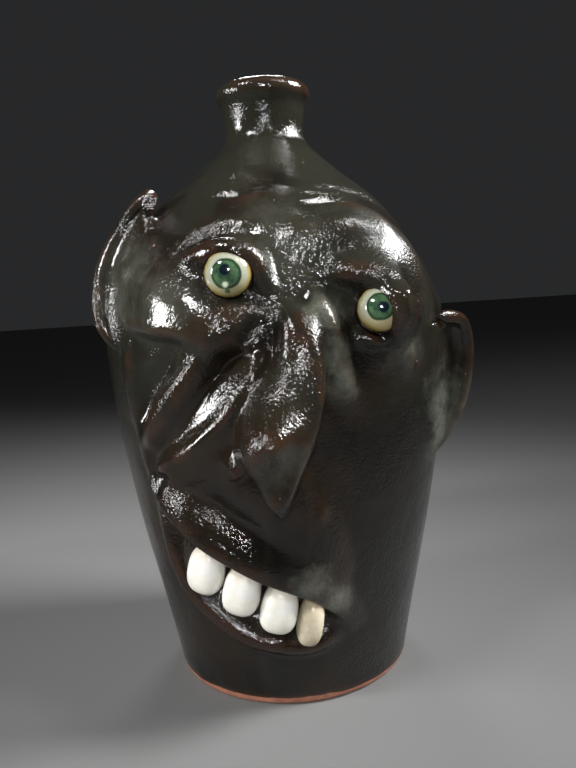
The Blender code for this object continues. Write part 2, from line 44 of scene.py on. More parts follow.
jugShape = {
    "height": 0.240,
    "footRadius": 0.0495,
    "bellyRadius": 0.0702,
    "neckRadius": 0.0158,
    "lipRadius": 0.0192,
    "lipRound": 0.0042,
    "footRound": 0.0022,
    "wall": 0.0075,
    "neckWall": 0.0058,
    "floor": 0.0090,
    "bellyLevel": 0.625,
    "neckLevel": 0.917,
    "shoulder": [(0.0, 0.0), (0.31, 0.135), (0.57, 0.39), (0.75, 0.68), (0.88, 0.885),
                 (0.95, 0.975), (1.0, 1.0)],
    "columns": 316,
    "rows": 262,
    "insideRows": 22,
    "backShare": 0.42,      # how fine the plain back is, next to the face
    "handWobble": 0.00028,  # unevenness of the thrown wall
    "wobbleSize": 0.026,
    "softenRounds": 3,      # how far the glaze fills the corners of the carving
    "carvedBand": (0.02, 0.90),   # shares of the height that hold the carving
    "normalReach": 0.0012,  # length over which the wall's slope is read
    "lipFrom": -62,         # degrees at which the neck runs into the rolled lip
    "boreTop": 0.012,       # depth at which the bore is straight
    "floorCorner": 0.006,
    "floorChamfer": 0.0018,
}

unit = jugShape["height"] / 240.0


def onCircle(radius, angle, z):
    return np.stack([radius * np.sin(angle), -radius * np.cos(angle), z + 0 * angle], -1)


def polar(radius, degrees):
    return radius * math.cos(math.radians(degrees)), radius * math.sin(math.radians(degrees))


def smoothLine(points, perSpan):
    pts = np.asarray(points, dtype=float)
    ext = np.vstack([2 * pts[0] - pts[1], pts, 2 * pts[-1] - pts[-2]])
    out = []
    for i in range(len(pts) - 1):
        a, b, c, d = ext[i:i + 4]
        for t in np.arange(perSpan) / perSpan:
            out.append(0.5 * (2 * b + (c - a) * t + (2 * a - 5 * b + 4 * c - d) * t * t
                              + (3 * b - a - 3 * c + d) * t ** 3))
    out.append(pts[-1])
    return np.array(out)


def wallProfile():
    s = jugShape
    neckZ = s["neckLevel"] * s["height"]
    bellyZ = s["bellyLevel"] * s["height"]
    pts = []
    for z in np.linspace(s["footRound"], bellyZ, 160)[:-1]:
        rise = math.sin(math.pi / 2 * (z / bellyZ) ** 1.1)
        pts.append((s["footRadius"] + (s["bellyRadius"] - s["footRadius"]) * rise, z))
    for u, share in smoothLine(s["shoulder"], 12)[:-1]:
        pts.append((s["bellyRadius"] + (s["neckRadius"] - s["bellyRadius"]) * share,
                    bellyZ + (neckZ - bellyZ) * u))
    lipZ = s["height"] - s["lipRound"]
    lipCentre = s["lipRadius"] - s["lipRound"]
    outward, upward = polar(s["lipRound"], s["lipFrom"])
    startR, startZ = lipCentre + outward, lipZ + upward
    for t in np.linspace(1, 0, 12)[:-1]:
        pts.append((startR + (s["neckRadius"] - startR) * math.sin(t * math.pi / 2),
                    startZ + (neckZ - startZ) * t))
    for degrees in np.linspace(s["lipFrom"], 90, 22):
        outward, upward = polar(s["lipRound"], degrees)
        pts.append((lipCentre + outward, lipZ + upward))
    return np.array(pts)


wallRows = wallProfile()
wallArc = np.concatenate([[0.0], np.cumsum(np.hypot(*np.diff(wallRows, axis=0).T))])
wallZ = wallRows[:, 1] + np.arange(len(wallRows)) * 1e-9


def skinRadius(z):
    return np.interp(z, wallZ, wallRows[:, 0])


def skinArc(z):
    return np.interp(z, wallZ, wallArc)


def wallAt(arc):
    return np.interp(arc, wallArc, wallRows[:, 0]), np.interp(arc, wallArc, wallRows[:, 1])


# Each stroke of the carving: softness, skew, and points of (degrees, height, half width, rise).
# Heights, widths and rises are in units of 1/240 of the jug's height.
carving = {
    "skullDent": (2.0, 0, [(60, 200, 30, -1), (72, 175, 38, -3.4), (80, 150, 34, -1.6)]),
    "foreheadGroove": (1.5, 0, [(-27.5, 204, 3, 0), (-11, 199.5, 3.5, -0.9), (7.5, 195, 3.5, -1.1),
      (31, 193, 3.5, -1.2), (50, 191, 3.5, -1.1), (59, 183.5, 3, 0)]),
    "foreheadFold": (1.2, 0, [(-41, 190.5, 4, 0), (-32, 191, 4.5, 0.8), (-18.5, 189.5, 4.5, 1.3),
      (-9.5, 191.5, 4.5, 1.2), (0.5, 189, 4.5, 1), (7, 184.5, 4.5, 1), (17.5, 183, 5, 1.2),
      (24, 181, 5, 1.4), (28, 177, 5, 1.2), (31.5, 171.5, 4, 0)]),
    "foreheadCrease": (1.3, 0, [(-26.5, 185, 2.5, 0), (-16, 185, 2.8, -0.6), (-2, 187.5, 2.8, -0.8),
      (5.5, 183, 3, -0.9), (16.5, 181.5, 3, -1), (23.5, 179, 3, -0.9), (29, 172.5, 2.5, 0)]),
    "temple": (1.6, 0, [(12, 184, 9, 0), (27, 180, 12, 3.4), (36, 172, 12, 4.4), (39, 160, 11, 4),
      (39, 148, 8, 0)]),
    "leftBrowMass": (1.8, 0, [(-47, 174, 12, 0.8), (-31, 181, 14, 1.6), (-15, 185, 14, 2),
      (-1, 182, 14, 1.6)]),
    "leftBrowGroove": (1.3, 0, [(-35, 173.5, 2.5, 0), (-32, 176.5, 3, -1.2), (-27, 178.5, 3, -1.6),
      (-20.5, 179.5, 3, -1.6), (-14.5, 178.5, 3, -1.2), (-10.5, 176.5, 2.5, 0)]),
    "leftLidCrease": (1.2, 0, [(-27, 176.5, 1.3, 0), (-21.5, 177.5, 1.5, -0.6), (-15.5, 176.5, 1.5, -0.5),
      (-12.5, 174.5, 1.2, 0)]),
    "leftLid": (0.9, 0.2, [(-40, 169, 3, 0), (-37, 170, 3, 3), (-33.5, 170.5, 4, 6), (-29, 171, 5.5, 8.8),
      (-24.5, 171.5, 7, 11.2), (-20, 171.5, 7.2, 12.4), (-15.5, 170, 7, 11.4), (-13, 168.5, 6, 9),
      (-11.5, 166, 5, 7), (-10.5, 162.5, 4, 4.5), (-7.5, 158.5, 3, 0)]),
    "leftCheek": (0.8, -0.42, [(-63.5, 154, 6, 1.5), (-50, 151, 9, 4.2), (-41.5, 150, 11, 6.2),
      (-35, 149.5, 11.5, 7), (-29.5, 147, 11.5, 7.2), (-24.5, 144.5, 11, 7), (-21, 144, 10, 6),
      (-17.5, 144, 7, 3.5), (-15, 145, 5, 0)]),
    "leftCheekPlane": (1.0, 0, [(-58.5, 163, 9, 3), (-43, 161, 11, 5.8), (-32.5, 159, 11, 6.6),
      (-26, 153.5, 10, 6), (-20.5, 149, 7, 4)]),
    "rightBrowMass": (1.8, 0, [(4, 178, 14, 4.5), (19, 178, 16, 8), (31, 168, 15, 7.5), (37, 152, 12, 3)]),
    "rightBrowFold": (1.2, 0, [(15, 172, 2.5, 0), (19, 170.5, 2.8, 1.2), (24, 168.5, 3, 1.6),
      (29, 164.5, 3, 1.6), (33, 159.5, 2.5, 0)]),
    "rightLid": (0.65, 0, [(7.5, 165.5, 4, 0), (10.5, 164.5, 5, 6), (15, 164, 6.5, 9.5),
      (19.5, 163, 8, 12), (23, 159, 8.5, 13), (25, 153, 8, 13), (29, 149, 6, 5), (30, 143, 4, 0)]),
    "rightLidSide": (0.25, 0, [(23.5, 158.5, 5, 7), (24, 154, 6.6, 13.6), (25, 150, 7, 14.6),
      (26.5, 147.5, 9, 13.5), (28.5, 141.5, 6.5, 8), (30.5, 138, 4, 3), (30, 137.5, 3, 0)]),
    "rightSocket": (1.6, 0, [(24, 139, 12, 2.5), (30, 143, 12, 3)]),
    "rightLowerLid": (1.2, 0, [(14.5, 145.5, 2.5, 0), (15.5, 142.5, 3, 4.2), (18.5, 140.5, 3.2, 6),
      (22, 140.5, 3.2, 5.6), (23, 143, 3, 4), (27, 145, 2, 0)]),
    "nose": (0.42, 0, [(-1.5, 155, 5, 0), (-2, 149, 6.3, 7), (-2, 142.5, 7.2, 10.5), (-2.5, 135, 8.3, 13),
      (-4, 129, 9.6, 16), (-6, 124, 10.8, 18.5), (-7.5, 120.5, 11.5, 20.5), (-9, 115, 10.5, 22.5),
      (-9.5, 110.5, 8.3, 24), (-9.5, 105, 6, 24.5), (-9, 98.5, 3.5, 21)]),
    "nostril": (0.5, 0, [(-6.5, 121.5, 6, 14), (-10, 121.5, 6.5, 20), (-13.5, 119, 6, 18.5),
      (-16.5, 112, 4.5, 14), (-19, 104.5, 3, 7)]),
    "nostrilRidge": (1.0, 0, [(-16.5, 116, 2.5, 0.8), (-13.5, 120.5, 3, 1.8), (-11, 122.5, 3.2, 2),
      (-7.5, 123, 3, 1.5), (-4.5, 124.5, 2.5, 0)]),
    "noseRim": (1.0, 0, [(0, 149, 2, 0), (1, 144, 2.6, 1), (1.5, 138, 3, 1.5), (1.5, 131, 3, 1.6),
      (0.5, 125, 3, 1.6), (-1.5, 119, 3, 1.6), (-4, 113.5, 3, 1.4), (-6.5, 107.5, 2.6, 1),
      (-8.5, 102, 2, 0)]),
    "nostrilBump": (1.0, 0, [(-21.5, 106.5, 3.2, 2.6), (-21, 103.5, 3.2, 2.6)]),
    "ribbon": (0.7, 0, [(4.5, 160, 3, 0), (4, 154, 4, 4.2), (5.5, 147.5, 5, 6), (7.5, 139, 5.6, 6),
      (9, 130.5, 5.6, 4.8), (11, 123.5, 5, 2.6), (13, 115.5, 4, 0)]),
    "cheekHollow": (1.4, 0, [(-26, 143, 3, 0), (-31.5, 139.5, 5, -1.5), (-45, 130, 7, -2.5),
      (-54, 121, 7, -2.5), (-57, 112, 5, -1.5), (-59, 104, 4, 0)]),
    "cheekFlap": (1.0, 0, [(-23.5, 147, 6, 3), (-26.5, 142.5, 7.5, 5.5), (-30, 137, 8.5, 7.5),
      (-34.5, 129, 9, 8.2), (-40.5, 120, 9, 8), (-46.5, 111.5, 8.5, 6.8), (-51.5, 105.5, 7, 3.8),
      (-54.5, 98, 5, 0)]),
    "foldGroove": (1.3, 0, [(-11.5, 144, 2.5, 0), (-14.5, 139.5, 3, -0.8), (-18, 133.5, 3.4, -1.2),
      (-22, 126.5, 3.4, -1.4), (-27.5, 119, 3.4, -1.4), (-36, 111.5, 3, -1.2), (-48, 104.5, 2.5, -0.8),
      (-52.5, 102, 2.5, 0)]),
    "muzzlePlane": (0.55, 0, [(-9.5, 143, 2.5, 0), (-12, 139.5, 3, 2), (-13.5, 136, 5, 5),
      (-16, 130.5, 7, 7), (-19.5, 124.5, 9, 7.8), (-23.5, 117.5, 10, 8), (-29, 111, 10, 7.8),
      (-35.5, 105, 9, 7), (-43.5, 98, 7, 5), (-44.5, 96.5, 5, 2.5), (-47.5, 92, 4, 0)]),
    "muzzleEdge": (1.2, 0, [(-11.5, 142, 3, 0), (-13, 137, 3.2, 0.9), (-15.5, 131.5, 3.4, 1.5),
      (-19, 125.5, 3.4, 1.7), (-23.5, 119.5, 3.4, 1.7), (-28.5, 114, 3.4, 1.7), (-35, 108, 3.4, 1.6),
      (-42.5, 102.5, 3, 1.2), (-51, 96, 2.6, 0.7), (-50, 93, 2, 0)]),
    "muzzle": (1.2, 0, [(-36, 94, 12, 4.5), (-26.5, 100.5, 16, 7.2), (-16, 94.5, 18, 7.8),
      (-4.5, 77.5, 15, 6), (5, 59, 11, 3)]),
    "upperLip": (0.9, -0.52, [(-51, 96, 4, 0), (-50.5, 88.5, 6, 4.8), (-45, 85, 7.5, 7.6),
      (-39, 82.5, 8.5, 9.2), (-33, 77.5, 9, 9.8), (-23.5, 71, 9, 10), (-14.5, 65, 9, 9.8),
      (-4, 57, 8.5, 8.2), (2.5, 50, 7.5, 6), (8, 42.5, 6, 3.8), (14, 34.5, 5, 1.4), (16, 29.5, 4, 0)]),
    "lipScratch": (1.2, 0, [(-30.5, 83.5, 1.3, 0), (-26, 79, 1.6, -0.8), (-20.5, 75, 1.3, 0)]),
    "mouth": (1.2, 0, [(-47, 80, 4, 0), (-43, 67, 6.5, -2.5), (-33, 55, 9, -3.5), (-20, 45, 9, -3.5),
      (-6, 38, 8, -3.5), (3, 36, 6, -2), (8, 37, 4, 0)]),
    "lowerLip": (1.1, 0, [(-52.5, 86, 4, 0), (-52, 77.5, 5, 2.8), (-50.5, 67, 5.5, 4.2), (-47, 54, 6, 5),
      (-38.5, 43, 6, 5.4), (-27, 34, 6, 5.4), (-16, 30.5, 6, 5.2), (-4.5, 28, 5.5, 4.2), (4.5, 29, 5, 2.6),
      (11.5, 32.5, 4, 0)]),
    "rightCheekbone": (1.1, 0, [(22, 137, 4, 0), (27, 136, 6, 3), (32, 133, 6.5, 3.5), (37, 127, 4, 0)]),
    "smallBump": (1.2, 0, [(2.5, 84.5, 2.4, 1.2), (3.5, 83, 2.4, 1.2)]),
    "leftEarFront": (1.4, 0, [(-53, 158, 6, 0), (-53.5, 150, 6.5, 1.6), (-55.5, 139, 7, 2.6),
      (-57, 129.5, 6.5, 3), (-57, 117, 6, 3.2), (-55.5, 106.5, 5.5, 3), (-54.5, 96, 4.5, 2.4),
      (-53.5, 87, 4, 0)]),
    "rightEarFront": (1.3, 0, [(42, 150, 4, 0), (45, 139, 5, 2), (49, 120, 7, 1.2), (53, 100, 6, 0)]),
}

# Where high relief sags: degrees, height, reach, share downwards, share to the left
sags = [(-9, 110, 21, 0.36, 0), (-22, 179, 16, 0.22, 0), (-32, 156, 13, 0.30, 0),
        (18, 170, 16, 0.33, 0), (32, 152, 12, 0.05, 0.45), (-32, 84, 20, 0.40, 0),
        (-10, 68, 19, 0.42, 0.05), (6, 50, 14, 0.26, 0.20)]

# The other strokes are lumps of clay that merge where they meet
toolMarks = ["skullDent", "foreheadGroove", "foreheadFold", "foreheadCrease", "leftBrowGroove",
    "leftLidCrease", "rightBrowFold", "nostrilRidge", "noseRim", "nostrilBump", "cheekHollow",
    "foldGroove", "muzzleEdge", "lipScratch", "mouth", "smallBump"]
mergeSharpness = 2.5


def strokeRise(lon, arc, radius, stroke):
    soft, skew, points = stroke
    line = smoothLine(points, 8)
    lineArc = skinArc(line[:, 1] * unit)
    widest = line[:, 2].max() * unit * (1 + abs(skew))
    out = np.zeros(lon.shape)
    toSide = math.pi / 180 * radius
    near = (lon - line[:, 0].max()) * toSide < widest
    near &= (line[:, 0].min() - lon) * toSide < widest
    near &= (arc < lineArc.max() + widest) & (arc > lineArc.min() - widest)
    if not near.any():
        return out
    lon, arc, toSide = lon[near], arc[near], toSide[near]
    best = np.full(lon.shape, 9.0)
    rise = np.zeros(lon.shape)
    for i in range(len(line) - 1):
        ax = (line[i, 0] - lon) * toSide
        ay = lineArc[i] - arc
        dx = (line[i + 1, 0] - line[i, 0]) * toSide
        dy = lineArc[i + 1] - lineArc[i]
        t = np.clip(-(ax * dx + ay * dy) / (dx * dx + dy * dy + 1e-12), 0, 1)
        nx, ny = ax + t * dx, ay + t * dy
        side = np.sign(dx * ny - dy * nx)
        width = (line[i, 2] + (line[i + 1, 2] - line[i, 2]) * t) * unit
        q = np.hypot(nx, ny) / (width * (1 + skew * side))
        closer = q < best
        best[closer] = q[closer]
        rise[closer] = (line[i, 3] + (line[i + 1, 3] - line[i, 3]) * t)[closer]
    out[near] = rise * unit * np.clip(1 - best ** 2, 0, 1) ** soft
    return out


def skinPoint(lon, arc):
    # point of the carved skin at a longitude and a length along the wall
    radius, z = wallAt(arc)
    aboveR, aboveZ = wallAt(arc + jugShape["normalReach"])
    belowR, belowZ = wallAt(arc - jugShape["normalReach"])
    dr, dz = aboveR - belowR, aboveZ - belowZ
    length = np.hypot(dr, dz)
    nr, nz = dz / length, -dr / length
    rise = np.zeros(lon.shape)
    low, high = jugShape["carvedBand"]
    live = (z > low * jugShape["height"]) & (z < high * jugShape["height"])
    mass = np.zeros(lon[live].shape)
    fine = np.zeros(lon[live].shape)
    for name, stroke in carving.items():
        part = strokeRise(lon[live], arc[live], radius[live], stroke)
        if name in toolMarks:
            fine += part
        else:
            mass += (part / unit) ** mergeSharpness
    rise[live] = unit * mass ** (1 / mergeSharpness) + fine
    down = np.zeros(lon.shape)
    left = np.zeros(lon.shape)
    for mid, level, reach, d, s in sags:
        u = (lon - mid) * math.pi / 180 * radius
        v = arc - skinArc(level * unit)
        fall = np.exp(-(u * u + v * v) / (reach * unit) ** 2)
        down += d * fall
        left += s * fall
    a = np.radians(lon)
    r = radius + rise * nr
    x = r * np.sin(a) - rise * left * np.cos(a)
    y = -r * np.cos(a) - rise * left * np.sin(a)
    return np.stack([x, y, z + rise * (nz - down)], -1)


def skinSpot(lon, level):
    return Vector(skinPoint(np.array([float(lon)]), skinArc(np.array([level * unit])))[0])


def soften(grid, rounds):
    # averages a grid that closes round the jug
    for _ in range(rounds):
        up = np.vstack([grid[1:], grid[-1:]])
        low = np.vstack([grid[:1], grid[:-1]])
        grid = (up + low + 2 * grid) / 4
        grid = (np.roll(grid, 1, 1) + np.roll(grid, -1, 1) + 2 * grid) / 4
    return grid


def evenGrid():
    # spread rows and columns so that the steep sides of nose and lips get their share of faces
    s = jugShape
    lookRows, lookCols = 250, 480
    frontEdge, edgeWidth = 92, 7    # degrees at which the plain back begins
    speedRounds = 14
    arcs = np.linspace(0, wallArc[-1], lookRows)
    lons = np.linspace(-180, 180, lookCols + 1)
    lonGrid, arcGrid = np.meshgrid(lons, arcs)
    pts = skinPoint(lonGrid, arcGrid)
    speed = np.linalg.norm(np.diff(pts, axis=1), axis=2)
    middle = (lons[1:] + lons[:-1]) / 2
    care = s["backShare"] + (1 - s["backShare"]) / (1 + np.exp((np.abs(middle) - frontEdge) / edgeWidth))
    speed = soften(speed, speedRounds) * care[None, :]
    share = np.linspace(0, 1, s["columns"] + 1)
    lonOf = np.empty((lookRows, s["columns"] + 1))
    for i in range(lookRows):
        run = np.concatenate([[0.0], np.cumsum(speed[i])])
        lonOf[i] = np.interp(share, run / run[-1], lons)
    pts = skinPoint(lonOf, np.repeat(arcs[:, None], s["columns"] + 1, 1))
    speed = np.linalg.norm(np.diff(pts, axis=0), axis=2)
    speed = soften(speed, speedRounds)
    rowShare = np.linspace(0, 1, s["rows"])
    lon = np.empty((s["rows"], s["columns"]))
    arc = np.empty((s["rows"], s["columns"]))
    for j in range(s["columns"]):
        run = np.concatenate([[0.0], np.cumsum(speed[:, j])])
        at = np.interp(rowShare, run / run[-1], np.arange(lookRows))
        arc[:, j] = np.interp(at, np.arange(lookRows), arcs)
        lon[:, j] = np.interp(at, np.arange(lookRows), lonOf[:, j])
    return lon, arc


def insideRows():
    # from the top of the lip down the bore and round the inside to the floor
    s = jugShape
    bore = s["neckRadius"] - s["neckWall"]
    lipCentre = s["lipRadius"] - s["lipRound"]
    neckZ = s["neckLevel"] * s["height"]
    throat = neckZ - 0.8 * s["wall"]
    leastDrop = 0.002
    pts = []
    for a in np.linspace(90, 180, 6)[1:]:
        pts.append((lipCentre + (lipCentre - bore) * math.cos(math.radians(a)),
                    s["height"] - s["lipRound"] * (1 - math.sin(math.radians(a)))))
    pts.append((bore, s["height"] - s["boreTop"]))
    pts.append((bore, throat))
    e = s["normalReach"]
    for z in np.linspace(neckZ, s["floor"] + s["floorCorner"], s["insideRows"]):
        dr = skinRadius(z + e) - skinRadius(z - e)
        length = math.hypot(dr, 2 * e)
        r = float(skinRadius(z) - s["wall"] * 2 * e / length)
        h = float(z + s["wall"] * dr / length)
        if r > bore and h < pts[-1][1] - leastDrop:
            pts.append((r, h))
    base = pts[-1][0]
    pts.append((base - s["floorChamfer"], s["floor"] + s["floorChamfer"]))
    pts.append((base - s["floorCorner"], s["floor"]))
    pts.append((base * 0.5, s["floor"]))
    return pts


def addObject(name, data):
    obj = bpy.data.objects.new(name, data)
    bpy.context.scene.collection.objects.link(obj)
    return obj


def newMesh(name, verts, faces):
    mesh = bpy.data.meshes.new(name)
    mesh.from_pydata([tuple(v) for v in np.asarray(verts, dtype=float).tolist()], [], faces)
    mesh.update()
    return addObject(name, mesh)


def jugBody():
    s = jugShape
    lon, arc = evenGrid()
    outer = skinPoint(lon, arc)
    ends = outer[[0, -1]].copy()
    outer = np.stack([soften(outer[:, :, i], s["softenRounds"]) for i in range(3)], -1)
    outer[[0, -1]] = ends
    footEdge, footFade = 0.004, 0.02    # the foot stays round
    neckZ, neckShare = 0.2, 0.35        # and the neck nearly so
    meanRadius = 0.06
    flat = outer.reshape(-1, 3)
    for k in range(len(flat)):
        fade = min(1.0, max(0.0, (flat[k][2] - footEdge) / footFade))
        fade *= neckShare if flat[k][2] > neckZ else 1.0
        push = noise.noise(Vector(flat[k]) / s["wobbleSize"]) * s["handWobble"] * fade
        flat[k][:2] *= 1 + push / meanRadius
    cols = s["columns"]
    rings = []
    footRadius = wallRows[0][0]
    footLon = np.radians(lon[0])
    under = [(footRadius * 0.5, 0.0), (footRadius - s["footRound"] * 2.2, 0.0)]
    for a in (90, 67, 45, 22):
        c, sn = math.cos(math.radians(a)), math.sin(math.radians(a))
        under.append((footRadius - s["footRound"] * (1 - c), s["footRound"] * (1 - sn)))
    for r, z in under:
        rings.append(onCircle(r, footLon, z))
    rings.extend(outer)
    topLon = np.radians(lon[-1])
    for r, z in insideRows():
        rings.append(onCircle(r, topLon, z))
    verts = np.concatenate([np.concatenate(rings), [[0, 0, 0], [0, 0, s["floor"]]]])
    faces = []
    for i in range(len(rings) - 1):
        a, b = i * cols, (i + 1) * cols
        for j in range(cols):
            k = (j + 1) % cols
            faces.append((a + j, a + k, b + k, b + j))
    start, end = len(verts) - 2, len(verts) - 1
    last = (len(rings) - 1) * cols
    for j in range(cols):
        k = (j + 1) % cols
        faces.append((start, k, j))
        faces.append((end, last + j, last + k))
    return newMesh("jugBody", verts, faces)


# Ear edges: degrees, height, stand-off from the wall. The hollow lies between them
earShapes = {
    "leftEar": {
        "front": [(-57, 139, -1.5), (-57, 148, -1.5), (-55.5, 158, -1.5), (-54.5, 168, -1.5),
                  (-56, 177, -1), (-59.5, 185, 2), (-60.5, 191, 7.5), (-60, 196, 12.5)],
        "rim": [(-62, 138.5, -1), (-64, 144.5, 4), (-67, 154.5, 8), (-69, 165, 9.5),
                (-71, 176, 10.5), (-72, 186, 11.5), (-68, 193, 13), (-61, 196.5, 13.2)],
        "hollow": (-74, -1),
        "thickness": 0.005},
    "rightEar": {
        "front": [(52, 89, -1.5), (49, 98, -1.5), (48, 108, -1.5), (47.5, 118, -1.5),
                  (47, 127, -1.5), (46.5, 134, -1.5), (45, 139.5, -0.5), (43, 143, 1.5)],
        "rim": [(57, 88.5, -1), (59.5, 97.5, 4.5), (60.5, 107, 8.5), (61.5, 116.5, 10.6),
                (62, 126.5, 11.4), (61, 136, 11), (56, 144, 9), (46.5, 146.8, 4.5)],
        "hollow": (68, -1.5),
        "thickness": 0.005},
}


def place(lon, z, off):
    return onCircle(skinRadius(z) + off, np.radians(lon), z)


def earSheet(name, ear):
    # a cupped sheet with a round rim, made as one closed skin
    front = smoothLine(ear["front"], 5)
    rim = smoothLine(ear["rim"], 5)
    rows = len(front)
    across = 16
    cup, gather = 0.5, 1.5    # how fast the hollow deepens, and how close rows lie at the rim
    lon, off = ear["hollow"]
    sheet = np.zeros((rows, across, 3))
    for i in range(rows):
        depth = math.sin(math.pi * i / (rows - 1)) ** cup
        middle = (front[i] + rim[i]) / 2
        knee = middle + (np.array([lon, middle[1], off]) - middle) * depth
        for j in range(across):
            t = 1 - (1 - j / (across - 1)) ** gather
            p = front[i] * (1 - t) ** 2 + 2 * knee * t * (1 - t) + rim[i] * t * t
            sheet[i, j] = place(p[0], p[1] * unit, p[2] * unit)
    along = np.gradient(sheet, axis=0)
    over = np.gradient(sheet, axis=1)
    normal = np.cross(along, over)
    normal /= np.linalg.norm(normal, axis=2)[:, :, None] + 1e-12
    toRim = np.zeros((rows, across))
    for j in range(across - 2, -1, -1):
        toRim[:, j] = toRim[:, j + 1] + np.linalg.norm(sheet[:, j + 1] - sheet[:, j], axis=1)
    toEnd = np.zeros((rows, across))
    run = np.linalg.norm(np.diff(sheet, axis=0), axis=2)
    toEnd[1:] = np.cumsum(run, axis=0)
    toEnd = np.minimum(toEnd, toEnd[-1][None, :] - toEnd)
    half = ear["thickness"] / 2
    edge = np.clip(np.minimum(toRim, toEnd) / half, 0, 1)
    thick = half * np.sqrt(np.clip(1 - (1 - edge) ** 2, 0, 1))
    one = sheet + normal * thick[:, :, None]
    two = sheet - normal * thick[:, :, None]
    verts = np.concatenate([one.reshape(-1, 3), two.reshape(-1, 3)])
    faces = []
    n = rows * across
    for i in range(rows - 1):
        for j in range(across - 1):
            k = i * across + j
            faces.append((k, k + 1, k + across + 1, k + across))
            faces.append((n + k, n + k + across, n + k + across + 1, n + k + 1))
        k = i * across
        faces.append((k, k + across, n + k + across, n + k))
    obj = newMesh(name, verts, faces)
    bm = bmesh.new()
    bm.from_mesh(obj.data)
    bmesh.ops.remove_doubles(bm, verts=bm.verts, dist=0.00005)
    bmesh.ops.dissolve_degenerate(bm, dist=0.00002, edges=bm.edges)
    bmesh.ops.holes_fill(bm, edges=[e for e in bm.edges if e.is_boundary], sides=0)
    bmesh.ops.recalc_face_normals(bm, faces=bm.faces)
    bm.to_mesh(obj.data)
    bm.free()
    return obj


def applyBoolean(target, cutter, operation):
    mod = target.modifiers.new("cut", "BOOLEAN")
    mod.operation = operation
    mod.solver = "MANIFOLD"
    mod.object = cutter
    graph = bpy.context.evaluated_depsgraph_get()
    graph.update()
    mesh = bpy.data.meshes.new_from_object(target.evaluated_get(graph))
    target.modifiers.clear()
    old = target.data
    target.data = mesh
    bpy.data.meshes.remove(old)
    bpy.data.objects.remove(cutter, do_unlink=True)


def joinAll(objects):
    keep = objects[0]
    bm = bmesh.new()
    for obj in objects:
        mesh = obj.data.copy()
        mesh.transform(obj.matrix_world)
        bm.from_mesh(mesh)
        bpy.data.meshes.remove(mesh)
    for obj in objects[1:]:
        bpy.data.objects.remove(obj, do_unlink=True)
    keep.matrix_world = Matrix()
    bm.to_mesh(keep.data)
    bm.free()
    return keep


def readArray(items, field, width=1, kind=float):
    values = np.empty(len(items) * width, dtype=kind)
    items.foreach_get(field, values)
    return values.reshape(-1, width) if width > 1 else values


def neighbours(mesh):
    # tables for averaging over a mesh
    edges = readArray(mesh.edges, "vertices", 2, np.int64)
    count = np.bincount(edges.ravel(), minlength=len(mesh.vertices)).astype(float)
    return edges, np.maximum(count, 1)


def averageOnce(values, edges, count):
    total = np.zeros_like(values)
    np.add.at(total, edges[:, 0], values[edges[:, 1]])
    np.add.at(total, edges[:, 1], values[edges[:, 0]])
    return total / (count[:, None] if values.ndim == 2 else count)


def filletJoints(obj):
    # soften the seam where the ears run into the head
    mesh = obj.data
    growRounds, growth = 4, 1.6
    fillRounds, fillShare = 10, 0.6
    insideBy = 0.003    # points this far within the wall stay where they are
    edges, count = neighbours(mesh)
    slots = readArray(mesh.polygons, "material_index", 1, np.int64)
    loopVerts = readArray(mesh.loops, "vertex_index", 1, np.int64)
    totals = readArray(mesh.polygons, "loop_total", 1, np.int64)
    faceOf = np.repeat(slots, totals)
    isEar = np.zeros(len(mesh.vertices))
    isBody = np.zeros(len(mesh.vertices))
    isEar[loopVerts[faceOf == 1]] = 1
    isBody[loopVerts[faceOf == 0]] = 1
    seam = isEar * isBody
    reach = seam.copy()
    for _ in range(growRounds):
        reach = np.maximum(reach, np.minimum(1, averageOnce(reach, edges, count) * growth))
    reach = np.clip(averageOnce(reach, edges, count), 0, 1)
    co = readArray(mesh.vertices, "co", 3)
    inside = np.hypot(co[:, 0], co[:, 1]) < skinRadius(co[:, 2]) - insideBy
    reach[inside] = 0
    for _ in range(fillRounds):
        co += (averageOnce(co, edges, count) - co) * (fillShare * reach)[:, None]
    mesh.vertices.foreach_set("co", co.ravel())
    mesh.polygons.foreach_set("material_index", np.zeros(len(mesh.polygons), dtype=np.int32))
    mesh.update()
    return int(seam.sum())


def markRidges(obj):
    # how far each point stands out of its surroundings, for glaze that thins on ridges
    mesh = obj.data
    flattenRounds, blurRounds = 16, 3
    ridgeHeight, most = 0.0004, 1.5
    edges, count = neighbours(mesh)
    co = readArray(mesh.vertices, "co", 3)
    normals = readArray(mesh.vertices, "normal", 3)
    flat = co.copy()
    for _ in range(flattenRounds):
        flat = averageOnce(flat, edges, count)
    out = ((co - flat) * normals).sum(axis=1) / ridgeHeight
    for _ in range(blurRounds):
        out = averageOnce(out, edges, count)
    layer = mesh.attributes.new("ridge", "FLOAT", "POINT")
    layer.data.foreach_set("value", np.clip(out, -most, most).astype(np.float32))


# Eyes: their size, where each ball sits and where it looks
eyeShapes = {
    "diameter": 0.0168,
    "sink": 0.0050,
    "gap": 0.00015,
    "dent": 0.00012,
    "left_eye": {"lon": -19.8, "level": 165.3, "turn": -12.7, "lift": -1.0},
    "right_eye": {"lon": 20.6, "level": 150.5, "turn": -16.3, "lift": 12.0},
}


def roundBall(name, radius, rings, dent):
    # a hand-rolled ball, pressed a little flat in front
    flatFrom, pressed, lumps = 0.86, 1.2, 1.7
    bm = bmesh.new()
    bmesh.ops.create_uvsphere(bm, u_segments=rings * 2, v_segments=rings, radius=radius)
    for v in bm.verts:
        d = v.co.normalized()
        front = max(0.0, -d.y)
        lump = 0.5 + 0.5 * noise.noise(d * lumps + Vector((radius * 900, 0, 0)))
        v.co = d * (radius - dent * lump
                    - dent * pressed * max(0.0, (front - flatFrom) / (1 - flatFrom)))
    mesh = bpy.data.meshes.new(name)
    bm.to_mesh(mesh)
    bm.free()
    return addObject(name, mesh)


